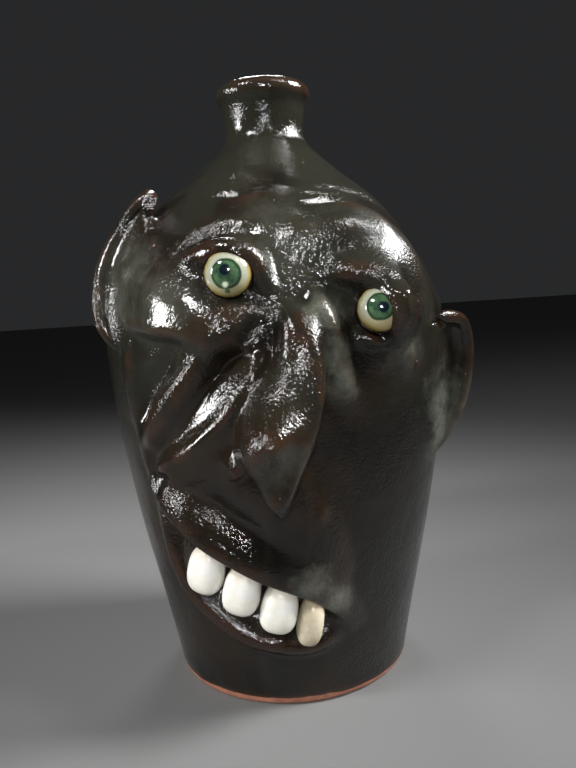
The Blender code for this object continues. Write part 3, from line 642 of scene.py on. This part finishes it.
def eyeAt(name):
    e = eyeShapes[name]
    out = eyeShapes["diameter"] / 2 - eyeShapes["sink"]
    where = Vector(place(e["lon"], e["level"] * unit, out))
    look = Euler((math.radians(-e["lift"]), 0, math.radians(e["turn"])), "XYZ")
    return where, look


# Teeth, from the left
toothShapes = {
    "width": 0.0138,
    "length": 0.0190,
    "depth": 0.0120,
    "sink": 0.0030,
    "between": 0.0006,
    "gap": 0.0002,
    "first": (-36.2, 60.3),
    "slope": 28.7,
    "lean": 12.0,
    "shares": {"tooth_1": 1.0, "tooth_2": 1.0, "tooth_3": 1.0, "tooth_4": 0.68},
    "squareness": 2.6,
    "taper": 0.10,
    "cornerShare": 0.8,
    "dent": 0.02,
    "dentScale": 150,
}


def toothPlaces():
    s = toothShapes
    lon, z = s["first"]
    before = None
    places = {}
    for name, share in s["shares"].items():
        if before is not None:
            step = s["width"] * (before + share) / 2 + s["between"]
            step /= math.cos(math.radians(s["slope"] - s["lean"]))
            reach = float(skinRadius(z * unit)) + s["depth"] / 2 - s["sink"]
            lon += math.degrees(step * math.cos(math.radians(s["slope"])) / reach)
            z -= step * math.sin(math.radians(s["slope"])) / unit
        places[name] = (lon, z)
        before = share
    return places


def toothRound(t):
    return (1 - abs(t) ** toothShapes["squareness"]) ** (1 / toothShapes["squareness"])


def toothBreadth(t):
    return toothRound(t) * (1 - toothShapes["taper"] * t)


def squared(value):
    return math.copysign(abs(value) ** toothShapes["cornerShare"], value)


def toothBody(name, lon, level, grow, rings=22, around=40, dent=0.0):
    s = toothShapes
    share = s["shares"][name.split("Seat")[0]]
    width, length, depth = [v + 2 * grow for v in (s["width"] * share, s["length"], s["depth"])]
    widest = max(toothBreadth(i / 40 - 1) for i in range(40))
    verts = [(0, 0, -length / 2)]
    for i in range(1, rings):
        t = -math.cos(math.pi * i / rings)
        size = toothRound(t)
        broad = toothBreadth(t) / widest
        for j in range(around):
            a = 2 * math.pi * j / around
            verts.append((squared(math.cos(a)) * width / 2 * broad,
                          squared(math.sin(a)) * depth / 2 * size, t * length / 2))
    verts.append((0, 0, length / 2))
    last = len(verts) - 1
    faces = []
    for j in range(around):
        k = (j + 1) % around
        faces.append((0, 1 + k, 1 + j))
        for i in range(rings - 2):
            a, b = 1 + i * around, 1 + (i + 1) * around
            faces.append((a + j, a + k, b + k, b + j))
        top = 1 + (rings - 2) * around
        faces.append((top + j, top + k, last))
    if dent:
        seed = Vector((lon, level, 3.0))
        points = [Vector(v) for v in verts]
        verts = [p * (1 - dent * (0.5 + 0.5 * noise.noise(p * s["dentScale"] + seed))) for p in points]
    obj = newMesh(name, verts, faces)
    out = s["depth"] / 2 - s["sink"]
    obj.location = place(lon, level * unit, out)
    obj.rotation_euler = (0.0, math.radians(s["lean"]), math.radians(lon))
    bpy.context.view_layer.update()
    return obj


# The pieces: made, joined and cut
jug = jugBody()
print("body turned and carved:", len(jug.data.polygons), "faces")

bodySlot = bpy.data.materials.new("bodySide")
earSlot = bpy.data.materials.new("earSide")
jug.data.materials.append(bodySlot)
jug.data.materials.append(earSlot)
ears = joinAll([earSheet(name, ear) for name, ear in earShapes.items()])
ears.data.materials.append(bodySlot)
ears.data.materials.append(earSlot)
ears.data.polygons.foreach_set("material_index", np.ones(len(ears.data.polygons), dtype=np.int32))
applyBoolean(jug, ears, "UNION")
print("ears on, seam points smoothed:", filletJoints(jug))

cutters = []
for name in ("left_eye", "right_eye"):
    socket = roundBall(name + "Socket", eyeShapes["diameter"] / 2 + eyeShapes["gap"], 26, 0.0)
    socket.location = eyeAt(name)[0]
    cutters.append(socket)
for name, (lon, level) in toothPlaces().items():
    cutters.append(toothBody(name + "Seat", lon, level, toothShapes["gap"], 14, 24))
bpy.context.view_layer.update()
applyBoolean(jug, joinAll(cutters), "DIFFERENCE")
bm = bmesh.new()
bm.from_mesh(jug.data)
bmesh.ops.remove_doubles(bm, verts=bm.verts, dist=0.00002)
bmesh.ops.dissolve_degenerate(bm, dist=0.00001, edges=bm.edges)
bm.to_mesh(jug.data)
openEdges = sum(1 for e in bm.edges if not e.is_manifold)
bm.free()
jug.name = "glazedJug"
markRidges(jug)
print("sockets and seats cut:", len(jug.data.polygons), "faces, open edges", openEdges)

eyes = {}
for name in ("left_eye", "right_eye"):
    eye = roundBall(name + "Ball", eyeShapes["diameter"] / 2, 36, eyeShapes["dent"])
    eye.location, eye.rotation_euler = eyeAt(name)
    eyes[name] = eye
teeth = {}
for name, (lon, level) in toothPlaces().items():
    tooth = toothBody(name, lon, level, 0.0, dent=toothShapes["dent"])
    tooth.name = name + "Body"
    teeth[name] = tooth
print("eyes and teeth set")


# Materials
def addNode(tree, kind, label, values=None, **settings):
    node = tree.nodes.new("ShaderNode" + kind)
    node.label = label
    for key, value in settings.items():
        setattr(node, key, value)
    for key, value in (values or {}).items():
        node.inputs[key].default_value = value
    return node


def link(tree, value, socket):
    # joins an output to the socket, or else sets its colour or number
    if isinstance(value, bpy.types.NodeSocket):
        tree.links.new(value, socket)
    elif isinstance(value, tuple):
        socket.default_value = (*value, 1)
    else:
        socket.default_value = value


def mixColour(tree, label, factor, low, high):
    node = addNode(tree, "Mix", label, data_type="RGBA")
    for key, value in (("Factor", factor), (6, low), (7, high)):
        link(tree, value, node.inputs[key])
    return node.outputs[2]


def maths(tree, label, operation, a, b=0, c=None, clamp=False):
    node = addNode(tree, "Math", label, operation=operation, use_clamp=clamp)
    for socket, value in zip(node.inputs, (a, b, c)):
        if value is not None:
            link(tree, value, socket)
    return node.outputs[0]


def rampValue(tree, label, value, low, high, outLow=0, outHigh=1):
    node = addNode(tree, "MapRange", label, clamp=True, interpolation_type="SMOOTHSTEP")
    keys = ("Value", "From Min", "From Max", "To Min", "To Max")
    for key, number in zip(keys, (value, low, high, outLow, outHigh)):
        link(tree, number, node.inputs[key])
    return node.outputs["Result"]


def objectPlace(tree):
    coords = addNode(tree, "TexCoord", "place").outputs["Object"]
    axes = addNode(tree, "SeparateXYZ", "axes")
    link(tree, coords, axes.inputs[0])
    return coords, axes.outputs


def distanceFrom(tree, label, vector, point):
    away = addNode(tree, "VectorMath", label, operation="DISTANCE")
    link(tree, vector, away.inputs[0])
    away.inputs[1].default_value = point
    return away.outputs["Value"]


def newGroup(name, colours, numbers, out, kind):
    tree = bpy.data.node_groups.new(name, "ShaderNodeTree")
    tree.interface.new_socket("Vector", in_out="INPUT", socket_type="NodeSocketVector")
    for label in colours:
        tree.interface.new_socket(label, in_out="INPUT", socket_type="NodeSocketColor")
    for label, value in numbers.items():
        socket = tree.interface.new_socket(label, in_out="INPUT", socket_type="NodeSocketFloat")
        socket.default_value = value
    tree.interface.new_socket(out, in_out="OUTPUT", socket_type=kind)
    return tree, tree.nodes.new("NodeGroupInput").outputs, tree.nodes.new("NodeGroupOutput").inputs[out]


def noiseAt(tree, label, vector, scale, detail=2, rough=0.5):
    node = addNode(tree, "TexNoise", label, {"Detail": detail, "Roughness": rough})
    link(tree, vector, node.inputs["Vector"])
    link(tree, scale, node.inputs["Scale"])
    return node.outputs["Fac"]


def glazeSkinGroup():
    # soft runs of a thick glaze with the fine pitting of orange peel over them
    numbers = {"Run Scale": 120, "Peel Scale": 900, "Run Height": 1, "Peel Height": 1,
               "Peel Mask": 1}
    tree, i, out = newGroup("glazeSkin", (), numbers, "Height", "NodeSocketFloat")
    runs = noiseAt(tree, "runs", i["Vector"], i["Run Scale"], 2, 0.45)
    peel = noiseAt(tree, "peel", i["Vector"], i["Peel Scale"], 2, 0.55)
    peel = maths(tree, "peel height", "MULTIPLY", peel, i["Peel Height"])
    peel = maths(tree, "peel where dry", "MULTIPLY", peel, i["Peel Mask"])
    runs = maths(tree, "run height", "MULTIPLY", runs, i["Run Height"])
    link(tree, maths(tree, "both", "ADD", runs, peel), out)
    return tree


def mottleGroup():
    # two tones that drift into each other, with small specks of a third
    numbers = {"Scale": 40, "Contrast": 0.12, "Speck Amount": 0.3}
    tree, i, out = newGroup("mottle", ("Deep", "Pale", "Speck"), numbers, "Color", "NodeSocketColor")
    drift = noiseAt(tree, "drift", i["Vector"], i["Scale"], 4, 0.6)
    low = maths(tree, "low edge", "SUBTRACT", 0.5, i["Contrast"])
    high = maths(tree, "high edge", "ADD", 0.5, i["Contrast"])
    share = rampValue(tree, "drift edge", drift, low, high)
    tone = mixColour(tree, "tones", share, i["Deep"], i["Pale"])
    finer = maths(tree, "speck scale", "MULTIPLY", i["Scale"], 9)
    specks = rampValue(tree, "speck edge", noiseAt(tree, "specks", i["Vector"], finer, 1), 0.62, 0.72)
    specks = maths(tree, "speck amount", "MULTIPLY", specks, i["Speck Amount"])
    link(tree, mixColour(tree, "with specks", specks, tone, i["Speck"]), out)
    return tree


glazeSkin = glazeSkinGroup()
mottle = mottleGroup()


def useGroup(tree, group, label, vector, values):
    node = addNode(tree, "Group", label, node_tree=group)
    for key, value in {"Vector": vector, **values}.items():
        link(tree, value, node.inputs[key])
    return node.outputs[0]


def startMaterial(name, colour, **sockets):
    mat = bpy.data.materials.new(name)
    mat.use_nodes = True
    mat.diffuse_color = (*colour, 1)
    shader = mat.node_tree.nodes["Principled BSDF"]
    for key, value in sockets.items():
        shader.inputs[key.replace("_", " ")].default_value = value
    return mat, mat.node_tree, shader


def bumpFrom(tree, height, distance, strength, shader):
    bump = addNode(tree, "Bump", "surface", {"Strength": strength, "Distance": distance})
    link(tree, height, bump.inputs["Height"])
    link(tree, bump.outputs["Normal"], shader.inputs["Normal"])


glazeLook = {
    "black": (0.0045, 0.0042, 0.0037),
    "brown": (0.015, 0.0098, 0.006),
    # olive glaze; laid over the upper half it also stands for painted sheen
    "oliveAndSheen": (0.0175, 0.0177, 0.0126),
    "thin": (0.038, 0.0165, 0.0085),      # where the glaze runs off a ridge
    # painted sheen: the pale grey-olive laid on where the glaze should show a soft reflection
    "pale": (0.13, 0.135, 0.108),
    "clay": (0.36, 0.15, 0.09),
    "clayDeep": (0.24, 0.095, 0.06),
    "claySpeck": (0.1, 0.05, 0.035),
    "clayRough": 0.85,
    "glossy": 0.055,
    "satin": 0.17,
    "sheen": (31, 172, 0.026, 0.26),       # degrees, height, size and roughness of the dull temple
    "bareLine": (0.0016, 0.0016, 27, 0.0022, 0.00012),   # height, tilt, direction, wander, softness
    "spots": [(-51.5, 176.5, 0.001), (36.5, 131, 0.0008)],   # degrees, height, size of bare spots
    "paintedSheens": [  # degrees, height and stand-off in units, size and strength of each patch of painted sheen
        (6, 151, 0, 0.0085, 0.8), (8.5, 138, 0, 0.0085, 0.8), (10.5, 127, 0, 0.007, 0.7),
        (-2, 58, 0, 0.01, 0.6), (6, 47, 0, 0.0085, 0.7), (56, 112, 4, 0.015, 0.55),
        (57, 100, 3, 0.012, 0.45), (32, 136, 0, 0.01, 0.5), (-38, 158, 0, 0.019, 0.3),
        (-60, 165, 0, 0.018, 0.3), (-6, 176, 0, 0.018, 0.2), (-10, 116, 0, 0.011, 0.2)],
}


def glazeMaterial():
    g = glazeLook
    mat, tree, shader = startMaterial("darkRunningGlaze", (0.03, 0.024, 0.018), IOR=1.48)
    coords, axes = objectPlace(tree)
    ridge = addNode(tree, "Attribute", "ridge", attribute_name="ridge").outputs["Fac"]

    tone = useGroup(tree, mottle, "black to brown", coords, {
        "Scale": 34, "Contrast": 0.2, "Deep": g["black"], "Pale": g["brown"],
        "Speck": g["oliveAndSheen"], "Speck Amount": 0.3})
    streakMap = addNode(tree, "Mapping", "streaks run down", {"Scale": (1, 1, 0.09)})
    link(tree, coords, streakMap.inputs["Vector"])
    streaks = noiseAt(tree, "streaks", streakMap.outputs[0], 150, 3, 0.6)
    streaks = rampValue(tree, "streak edge", streaks, 0.48, 0.72, 0, 0.55)
    colour = mixColour(tree, "streaked", streaks, tone, g["brown"])
    # olive glaze over the upper half, partly a painted sheen where the upward faces catch the light
    upper = rampValue(tree, "upper half", axes["Z"], 0.09, 0.165, 0, 0.9)
    # painted shade: the lower right wall is painted black as if it lay in shade
    shadedRightSide = rampValue(tree, "right wall", axes["X"], 0.002, 0.04, 0, 0.9)
    shadedLowerPart = rampValue(tree, "lower half", axes["Z"], 0.105, 0.15, 1, 0)
    colour = mixColour(tree, "painted shade on right wall", maths(tree, "painted shade where", "MULTIPLY", shadedRightSide, shadedLowerPart),
                       colour, g["black"])
    patches = rampValue(tree, "olive patches", noiseAt(tree, "olive drift", coords, 26, 3), 0.34, 0.56)
    oliveAndSheen = maths(tree, "olive where", "MULTIPLY", upper, patches)
    colour = mixColour(tree, "olive bloom", oliveAndSheen, colour, g["oliveAndSheen"])
    fray = noiseAt(tree, "bloom edge", coords, 90, 4, 0.65)
    # painted sheen: pale patches on the face where the glaze should catch a soft reflection of the lamps
    for lon, level, out, size, amount in g["paintedSheens"]:
        middle = skinSpot(lon, level)
        middle.xy *= 1 + out * unit / middle.xy.length
        away = distanceFrom(tree, "paintedSheen", coords, middle)
        reach = maths(tree, "bloom reach", "MULTIPLY_ADD", fray, 2.2 * size, away)
        mask = rampValue(tree, "bloom mask", reach, 0.9 * size, 2.4 * size, amount, 0)
        colour = mixColour(tree, "pale bloom", mask, colour, g["pale"])
    thin = rampValue(tree, "thin on ridges", ridge, 0.6, 1.8, 0, 0.55)
    thin = maths(tree, "broken thin", "MULTIPLY", thin,
                 rampValue(tree, "breaks", noiseAt(tree, "break drift", coords, 120, 3), 0.34, 0.62))
    colour = mixColour(tree, "brown ridges", thin, colour, g["thin"])

    height, tilt, turn, wander, soft = g["bareLine"]
    way = (math.sin(math.radians(-turn)), -math.cos(math.radians(-turn)))
    slope = maths(tree, "tilt x", "MULTIPLY", axes["X"], way[0] * tilt / jugShape["footRadius"])
    slope = maths(tree, "tilt y", "MULTIPLY_ADD", axes["Y"], way[1] * tilt / jugShape["footRadius"], slope)
    drift = noiseAt(tree, "line drift", coords, 70, 3)
    line = maths(tree, "wander", "MULTIPLY_ADD", drift, wander, slope)
    line = maths(tree, "line height", "ADD", line, height - wander / 2)
    above = maths(tree, "above line", "SUBTRACT", axes["Z"], line)
    bare = rampValue(tree, "bare foot", above, -soft, soft, 1, 0)
    for lon, level, size in g["spots"]:
        away = distanceFrom(tree, "bare spot", coords, skinSpot(lon, level))
        shape = maths(tree, "spot shape", "MULTIPLY_ADD", noiseAt(tree, "spot edge", coords, 900, 1),
                      0.0012, away)
        bare = maths(tree, "with spot", "MAXIMUM", bare,
                     rampValue(tree, "spot edge", shape, size, size + 0.0004, 1, 0))
    halo = rampValue(tree, "edge halo", above, 0, 0.0016, 0.7, 0)
    colour = mixColour(tree, "thin edge", halo, colour, g["thin"])
    clay = useGroup(tree, mottle, "bare clay", coords, {
        "Scale": 160, "Contrast": 0.25, "Deep": g["clayDeep"], "Pale": g["clay"],
        "Speck": g["claySpeck"], "Speck Amount": 0.7})
    colour = mixColour(tree, "clay shows", bare, colour, clay)
    link(tree, colour, shader.inputs["Base Color"])

    dry = rampValue(tree, "dry drift", noiseAt(tree, "dry patches", coords, 30, 3, 0.55), 0.42, 0.66)
    rough = maths(tree, "satin share", "MULTIPLY_ADD", dry, g["satin"] - g["glossy"], g["glossy"])
    lon, level, size, dull = g["sheen"]
    away = distanceFrom(tree, "temple", coords, skinSpot(lon, level))
    sheen = rampValue(tree, "temple mask", away, 0.5 * size, 1.2 * size, 1, 0)
    dulled = maths(tree, "dull share", "SUBTRACT", dull, rough)
    rough = maths(tree, "dull temple", "MULTIPLY_ADD", sheen, dulled, rough)
    mixRough = addNode(tree, "Mix", "rough clay", data_type="FLOAT")
    link(tree, bare, mixRough.inputs["Factor"])
    link(tree, rough, mixRough.inputs[2])
    mixRough.inputs[3].default_value = g["clayRough"]
    link(tree, mixRough.outputs[0], shader.inputs["Roughness"])

    patches = noiseAt(tree, "peel patches", coords, 42, 3)
    peelMask = rampValue(tree, "peel drift", patches, 0.36, 0.6, 0.25, 1)
    skin = useGroup(tree, glazeSkin, "glaze skin", coords, {
        "Run Scale": 95, "Peel Scale": 900, "Run Height": 0.75, "Peel Height": 0.65,
        "Peel Mask": peelMask})
    bumpFrom(tree, skin, 0.0011, 0.62, shader)
    return mat


eyeLook = {
    "cream": (0.3, 0.31, 0.235),
    "creamDeep": (0.34, 0.29, 0.13),
    "irisDeep": (0.012, 0.04, 0.02),
    "irisPale": (0.058, 0.11, 0.056),
    "pupil": (0.004, 0.01, 0.014),
    "rim": (0.26, 0.19, 0.05),      # where clear glaze pools round the ball
    "irisSpeck": (0.3, 0.42, 0.3),
    "irisRim": (0.015, 0.035, 0.015),
    "blotch": (0.62, 0.68, 0.5),
    "drip": (0.05, 0.1, 0.04),
    "ringInside": 0.0074,
    "left_eye": {"iris": 0.0053, "pupil": 0.0021, "pupilMove": (-0.0002, 0.0013)},
    "right_eye": {"iris": 0.005, "pupil": 0.0021, "pupilMove": (0.001, -0.0002)},
}


def eyeMaterial(name):
    e = eyeLook[name]
    mat, tree, shader = startMaterial(name + "Glaze", eyeLook["cream"], Roughness=0.1, IOR=1.5)
    coords, axes = objectPlace(tree)
    wobble = noiseAt(tree, "wobble", coords, 260, 2)

    def discEdge(label, radius, soft, wander, moveX=0, moveZ=0):
        middle = addNode(tree, "CombineXYZ", label + " middle")
        link(tree, axes["X"], middle.inputs[0])
        link(tree, axes["Z"], middle.inputs[2])
        away = distanceFrom(tree, label, middle.outputs[0], (moveX, 0, moveZ))
        near = maths(tree, label + " edge", "MULTIPLY_ADD", wobble, wander, away)
        return rampValue(tree, label + " mask", near, radius - soft, radius + soft, 1, 0)

    front = rampValue(tree, "front half", axes["Y"], -0.001, 0, 1, 0)
    low = rampValue(tree, "glaze settles", axes["Z"], -0.0065, -0.0005, 0.85, 0)
    white = mixColour(tree, "cream", low, eyeLook["cream"], eyeLook["creamDeep"])
    ring = maths(tree, "outer ring", "SUBTRACT", 1,
                 discEdge("ball edge", eyeLook["ringInside"], 0.0006, 0.0012))
    white = mixColour(tree, "yellow ring", ring, white, eyeLook["rim"])
    line = maths(tree, "glaze line", "SUBTRACT", 1,
                 discEdge("line edge", eyeLook["ringInside"] + 0.0006, 0.0003, 0.001))
    white = mixColour(tree, "dark glaze line", line, white, glazeLook["brown"])
    iris = useGroup(tree, mottle, "iris", coords, {
        "Scale": 330, "Contrast": 0.16, "Deep": eyeLook["irisDeep"], "Pale": eyeLook["irisPale"],
        "Speck": eyeLook["irisSpeck"], "Speck Amount": 0.25})
    irisMask = maths(tree, "iris in front", "MULTIPLY", front,
                     discEdge("iris", e["iris"], 0.00028, 0.0008))
    rim = maths(tree, "iris rim", "SUBTRACT", irisMask,
                discEdge("iris inner", e["iris"] - 0.0008, 0.0004, 0.0008), clamp=True)
    painted = mixColour(tree, "dark rim", rim, iris, eyeLook["irisRim"])
    moveX, moveZ = e["pupilMove"]
    pupil = discEdge("pupil", e["pupil"], 0.0004, 0.0006, moveX, moveZ)
    painted = mixColour(tree, "pupil", pupil, painted, eyeLook["pupil"])
    if name == "left_eye":
        blotch = discEdge("blotch", 0.0016, 0.0005, 0.0016, -0.0004, -0.0036)
        painted = mixColour(tree, "pale blotch", blotch, painted, eyeLook["blotch"])
    colour = mixColour(tree, "iris on ball", irisMask, white, painted)
    if name == "left_eye":
        drip = maths(tree, "drip in front", "MULTIPLY", front,
                     discEdge("drip", 0.0013, 0.0003, 0.0008, 0, -0.0054))
        colour = mixColour(tree, "green drip", drip, colour, eyeLook["drip"])
    link(tree, colour, shader.inputs["Base Color"])
    skin = useGroup(tree, glazeSkin, "eye glaze", coords, {
        "Run Scale": 260, "Peel Scale": 1500, "Peel Height": 0.06})
    bumpFrom(tree, skin, 0.0004, 0.35, shader)
    return mat


toothLook = {
    "white": (0.83, 0.82, 0.78),
    "shade": (0.74, 0.71, 0.62),
    "beige": (0.44, 0.37, 0.25),
    "sand": (0.62, 0.56, 0.43),
    "toothBrown": (0.4, 0.3, 0.18),
}


def toothMaterial(name):
    t = toothLook
    beige = name == "tooth_4"
    mat, tree, shader = startMaterial(name + "Clay", t["white"], IOR=1.46)
    coords, axes = objectPlace(tree)
    tone = useGroup(tree, mottle, "white clay", coords, {
        "Scale": 130, "Contrast": 0.22, "Deep": t["beige"] if beige else t["shade"],
        "Pale": t["sand"] if beige else t["white"], "Speck": t["toothBrown"], "Speck Amount": 0.1})
    # darker and browner towards the top, where the tooth runs in under the lip
    root = rampValue(tree, "browner near lip", axes["Z"], 0.004, 0.0085, 0, 0.45)
    link(tree, mixColour(tree, "brown near lip", root, tone, t["toothBrown"]), shader.inputs["Base Color"])
    rough = rampValue(tree, "satin drift", noiseAt(tree, "drift", coords, 200, 2), 0.3, 0.7, 0.28, 0.44)
    link(tree, rough, shader.inputs["Roughness"])
    skin = useGroup(tree, glazeSkin, "tooth skin", coords, {
        "Run Scale": 210, "Peel Scale": 1400, "Peel Height": 0.14})
    bumpFrom(tree, skin, 0.0006, 0.4, shader)
    return mat


def dress(obj, mat, angle):
    obj.data.materials.clear()
    obj.data.materials.append(mat)
    obj.data.shade_smooth()
    obj.data.set_sharp_from_angle(angle=math.radians(angle))


dress(jug, glazeMaterial(), 50)
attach(jug, "root")
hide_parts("jug")
for name, eye in eyes.items():
    dress(eye, eyeMaterial(name), 80)
    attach(eye, "root")
    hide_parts(name)
for name, tooth in teeth.items():
    dress(tooth, toothMaterial(name), 80)
    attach(tooth, "root")
    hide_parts(name)
print("glaze, eyes and teeth dressed")

# Stage, lights and camera
studio = {
    "floor": (0.15, 0.151, 0.149),
    "air": (0.42, 0.43, 0.45),
    "airStrength": 0.05,
    "lamps": [  # place, height aimed at, width, depth, watts, spread in degrees
        ((-0.62, -0.45, 0.87), 0.2, 0.18, 0.1, 0.5, 50),
        ((0.5, -0.4, 0.95), 0.2, 0.12, 0.1, 0.2, 50),
        ((-0.95, -0.08, 0.34), 0.18, 0.16, 0.3, 0.85, 60),
        ((0.86, -0.12, 0.76), 0.26, 0.42, 0.4, 2.6, 44),
        ((0.1, 0.74, 0.82), 0.24, 0.24, 0.12, 0.3, 50),
        ((-0.1, -0.62, 0.32), 0.12, 0.04, 0.04, 0.85, 110)],
    "camera": {"distance": 0.298, "height": 0.1627, "down": 8.59, "roll": -3.24, "aside": 0.73,
               "round": -8, "sensor": 36, "lens": 32.8125},
}


def stageFloor():
    obj = newMesh("studioFloor", [(-3, -3, 0), (3, -3, 0), (3, 3, 0), (-3, 3, 0)], [(0, 1, 2, 3)])
    mat, tree, shader = startMaterial("paleFloor", studio["floor"], Roughness=0.75)
    coords = objectPlace(tree)[0]
    drift = rampValue(tree, "faint drift", noiseAt(tree, "drift", coords, 3, 2), 0.3, 0.7, 0, 0.3)
    paler = tuple(v * 1.06 for v in studio["floor"])
    link(tree, mixColour(tree, "floor tone", drift, studio["floor"], paler), shader.inputs["Base Color"])
    obj.data.materials.append(mat)


def lamp(number, where, aim, width, depth, watts, spread):
    light = bpy.data.lights.new("softLamp%d" % number, "AREA")
    light.shape = "RECTANGLE"
    light.size = width
    light.size_y = depth
    light.energy = watts
    light.spread = math.radians(spread)
    obj = addObject(light.name, light)
    obj.location = where
    obj.rotation_euler = (Vector((0, 0, aim)) - Vector(where)).to_track_quat("-Z", "Y").to_euler()


def photoCamera():
    c = studio["camera"]
    cam = bpy.data.cameras.new("photoCamera")
    cam.sensor_width = c["sensor"]
    cam.lens = c["lens"]
    cam.clip_start = 0.01
    obj = addObject("photoCamera", cam)
    down, roll, aside = [math.radians(c[k]) for k in ("down", "roll", "aside")]
    level = Vector((math.sin(aside), math.cos(aside), 0))
    ahead = level * math.cos(down) + Vector((0, 0, -math.sin(down)))
    right = Vector((math.cos(aside), -math.sin(aside), 0))
    up = right.cross(ahead)
    rolledRight = math.cos(roll) * right + math.sin(roll) * up
    rolledUp = -math.sin(roll) * right + math.cos(roll) * up
    turn = Matrix.Rotation(math.radians(c["round"]), 3, "Z")
    m = Matrix((turn @ rolledRight, turn @ rolledUp, turn @ -ahead)).transposed().to_4x4()
    m.translation = turn @ Vector((0, -c["distance"], c["height"]))
    obj.matrix_world = m
    bpy.context.scene.camera = obj


stageFloor()
for number, row in enumerate(studio["lamps"], 1):
    lamp(number, *row)
world = bpy.data.worlds.new("studioAir")
world.use_nodes = True
air = world.node_tree.nodes["Background"].inputs
air["Color"].default_value = (*studio["air"], 1)
air["Strength"].default_value = studio["airStrength"]
bpy.context.scene.world = world
photoCamera()
bpy.context.scene.view_settings.view_transform = "Standard"
print("stage, lamps and camera ready")

bpy.context.view_layer.update()
